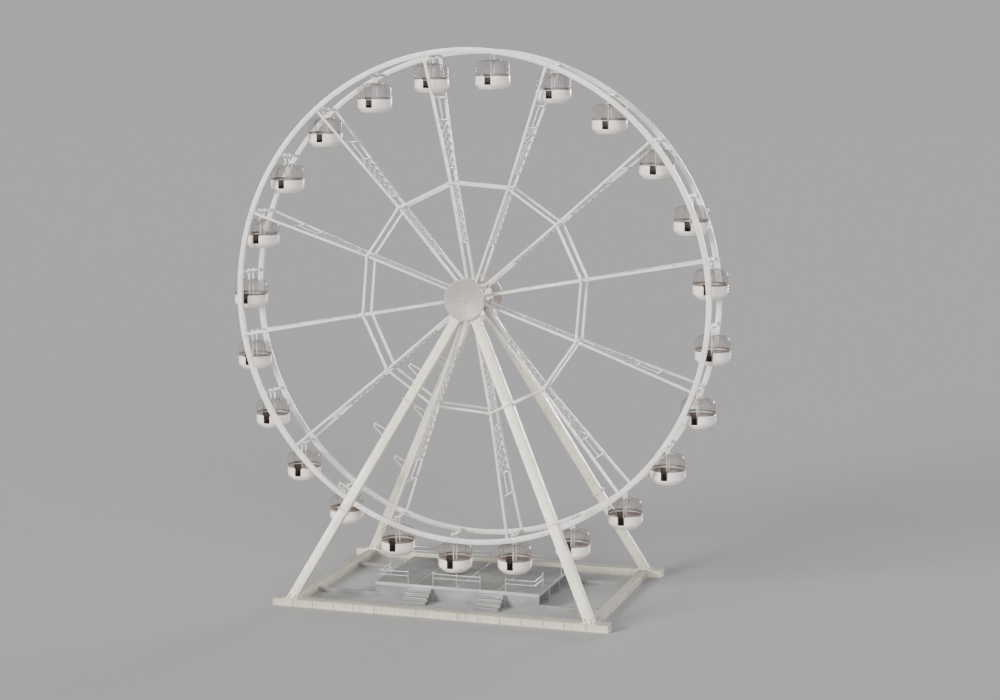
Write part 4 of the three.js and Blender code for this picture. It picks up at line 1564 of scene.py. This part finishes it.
def star_ring(outer, inner, sides):
    piece = tube("star_ring", at_hub(0, HUB_FACE_Y, 0), at_hub(0, HUB_FACE_Y + RIB_HEIGHT, 0), outer, sides)
    edit(piece)
    pick("FACE", lambda centre, face: abs(face.normal.y) > 0.9)
    bpy.ops.mesh.inset(thickness=(outer - inner) * math.cos(math.pi / sides), use_individual=True)
    bpy.ops.mesh.bridge_edge_loops()
    done()
    return piece


star = join([star_rib(i) for i in range(SPOKES)] + [star_ring(*STAR_RING)], "hub_star")
smooth(dress(bevel(star, 0.004, segments=1), hub_paint))
print("hub star faces", len(star.data.polygons))
for name, placed in front_and_rear("hub_star").items():
    hand_over(copy_of(star, name, placed), "wheel", "hub_paint")
discard(star)

# %% [markdown]
# ## Deck trim
# The deck is a slab of tread plate on bearers. What makes it read as a deck is its edge: a folded
# kick strip all round, a nosing on every step, and the lines where one plate meets the next. Thin
# bars do all three.

# %% Deck trim
DECK_TOP = 0.95
DECK_X = 5.2
DECK_Y = 3.4
STAIR_X = 2.3
STAIR_HALF = 0.75
STEPS = 4
STAIR_RISE = DECK_TOP / (STEPS + 1)
STAIR_TREAD = 0.30
EDGE_Z = DECK_TOP - 0.09
EDGE_SIZE = (0.012, 0.19)
EDGE_OUT = 0.006
NOSING_TOP = (0.06, 0.008)
NOSING_FRONT = (0.008, 0.05)
JOINT_STRIP = (0.05, 0.006)
JOINTS_X = (-2.6, 0.0, 2.6)


def deck_trim():
    parts = []
    for side in (-1, 1):
        parts.append(plate("edge", (0, side * (DECK_Y + EDGE_OUT), EDGE_Z), (DECK_X, 0, 0), *EDGE_SIZE))
        parts.append(plate("edge", (side * (DECK_X + EDGE_OUT), 0, EDGE_Z), (0, DECK_Y, 0), *EDGE_SIZE))
        for step in range(STEPS):
            x = side * STAIR_X
            y = -DECK_Y - (STEPS - step) * STAIR_TREAD + 0.012
            z = (step + 1) * STAIR_RISE + 0.004
            parts.append(plate("nosing", (x, y, z), (STAIR_HALF, 0, 0), *NOSING_TOP))
            parts.append(plate("nosing", (x, y - 0.016, z - 0.02), (STAIR_HALF, 0, 0), *NOSING_FRONT))
    for x in JOINTS_X:
        parts.append(plate("joint", (x, 0, DECK_TOP + 0.002), (0, DECK_Y, 0), *JOINT_STRIP))
    return join(parts, "deck_trim")


deck_edges = smooth(dress(bevel(deck_trim(), 0.0015, segments=1), galvanised))
hand_over(deck_edges, "stand", "deck_plate")
print("deck trim faces", len(deck_edges.data.polygons))

# %% [markdown]
# ## The round hub covers
# The front of the hub is closed by a plain round disc, the most visible thing on the whole wheel. It
# is a cylinder with a bevelled rim and two inset rings that read as the joint of its dished plate,
# with a ring of bolts and a small cap over the end of the shaft. The rear cover is the same disc
# turned round.

# %% Hub covers
COVER_R = 1.27
COVER_THICK = 0.16
COVER_Y = 1.6603
CAP_R = 0.17
CAP_THICK = 0.02
CAP_SUNK = 0.008
COVER_BOLTS = 18
COVER_BOLT_CIRCLE = 1.21
BOLT_SUNK = 0.016
# The insets of the disc's face, from the rim inwards: how far each goes in, and how far up or down.
COVER_INSETS = ((0.11, 0.0), (0.018, -0.012), (0.62, 0.006), (0.02, -0.008))


def hub_cover():
    """Drawn lying down, with its outer face up Z and its back face at Z zero."""
    middle = (0, 0, COVER_THICK / 2)
    disc = add("cylinder", "cover", vertices=96, radius=COVER_R, depth=COVER_THICK, location=middle)
    edit(disc)
    pick_facing(UP)
    for thickness, depth in COVER_INSETS:
        bpy.ops.mesh.inset(thickness=thickness, depth=depth)
    done()
    bevel(disc, 0.014, segments=3, degrees=60)
    middle = (0, 0, COVER_THICK - CAP_SUNK)
    cap = add("cylinder", "cap", vertices=32, radius=CAP_R, depth=CAP_THICK, location=middle)
    bevel(cap, 0.006, degrees=60)
    return smooth(dress(join([disc, cap], "cover"), hub_paint), 35)


cover = hub_cover()
circle = on_circle(COVER_BOLTS, COVER_BOLT_CIRCLE)
spots = [pointing((x, y, COVER_THICK - BOLT_SUNK), UP) for x, y in circle]
cover_bolts = bolts("cover_bolts", 0.013, 0.012, spots)
print("cover faces", len(cover.data.polygons), "bolts", len(spots))
seats = {}
for name, side in (("front", -1), ("rear", 1)):
    stand_up = Matrix.Rotation(-side * math.pi / 2, 4, "X")
    seats[f"hub_cover_{name}"] = Matrix.Translation((0, side * COVER_Y, HUB_Z)) @ stand_up
patterns = {"disc": cover, "bolts": cover_bolts}
hand_over_copies(seats, "stand", "hub_paint", patterns, stand_in="disc")
discard(*patterns.values())

# %% [markdown]
# ## Rails of galvanised tube
# The rails round the deck are bent from one round tube: a top rail that turns down into the end
# posts, a middle rail, and posts on small foot plates. The bent-tube helper from the legs' brackets
# makes them too, only with other corners.

# %% Rails
RAIL_TOP = 1.0
RAIL_MIDDLE = 0.5
RAIL_R = 0.025
RAIL_BEND = 0.12
POST_SPACING = 1.7
SAME_SPOT = 0.05
RAIL_X = 5.15
RAIL_Y = 3.35
RAIL_GAP_Y = 1.6
STAIR_OUT = 3.10
STAIR_IN = 1.50
RAIL_RUNS = {
    "rail_left": ((-STAIR_OUT, -RAIL_Y), (-RAIL_X, -RAIL_Y), (-RAIL_X, -RAIL_GAP_Y)),
    "rail_right": ((STAIR_OUT, -RAIL_Y), (RAIL_X, -RAIL_Y), (RAIL_X, -RAIL_GAP_Y)),
    "rail_front": ((-STAIR_IN, -RAIL_Y), (STAIR_IN, -RAIL_Y)),
    "rail_rear": ((-RAIL_X, RAIL_GAP_Y), (-RAIL_X, RAIL_Y), (RAIL_X, RAIL_Y), (RAIL_X, RAIL_GAP_Y)),
}
RAIL_GAP = 0.0003
FOOT_Z = DECK_TOP + RAIL_GAP
FOOT_SIZE = (0.11, 0.11)
FOOT_THICK = 0.010
MIDDLE_SHARE = 0.8
POST_SHARE = 0.9


def at_height(corners, z):
    return [Vector((*corner, z)) for corner in corners]


def near_any(spot, others):
    return any((spot - other).length < SAME_SPOT for other in others)


def post_spots(corners):
    """The corners of a run, and points spaced evenly between them."""
    spots = []
    for (x0, y0), (x1, y1) in zip(corners, corners[1:]):
        bays = max(1, round(math.hypot(x1 - x0, y1 - y0) / POST_SPACING))
        for j in range(bays + 1):
            spot = Vector((x0 + (x1 - x0) * j / bays, y0 + (y1 - y0) * j / bays, FOOT_Z))
            if not near_any(spot, spots):
                spots.append(spot)
    return spots


def rail(name, corners):
    """A post stands on each foot plate, except where the top rail turns down and at the corners."""
    feet = at_height(corners, FOOT_Z)
    top = at_height(corners, DECK_TOP + RAIL_TOP - RAIL_R)
    middle = at_height(corners, DECK_TOP + RAIL_MIDDLE - RAIL_R)
    parts = [pipe(name, [feet[0]] + top + [feet[-1]], RAIL_R, RAIL_BEND)]
    parts.append(pipe(name, middle, RAIL_R * MIDDLE_SHARE, RAIL_BEND))
    spots = post_spots(corners)
    for spot in spots:
        if not near_any(spot, feet):
            parts.append(tube(name, spot, spot + UP * (RAIL_TOP - RAIL_R), RAIL_R * POST_SHARE, 14))
        parts.append(bar(name, spot, spot + UP * FOOT_THICK, *FOOT_SIZE))
    piece = bevel(join(parts, name + "_tube"), 0.002, segments=1, degrees=60)
    print(name, len(piece.data.polygons), "faces", len(spots), "posts")
    return smooth(dress(piece, galvanised))


for name, corners in RAIL_RUNS.items():
    hand_over(rail(name, corners), "stand", "rail_paint", name)

# %% [markdown]
# ## Compare the sizes
# The last cell prints how far the box of the dressed object grows beyond the box of the
# engineering model. The looks may never make the object bigger.


new_low, new_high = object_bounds()
growth = [round(v, 4) for v in (new_high - new_low) - (cad_high - cad_low)]
print("pieces", len(made_pieces), "grown by", growth)
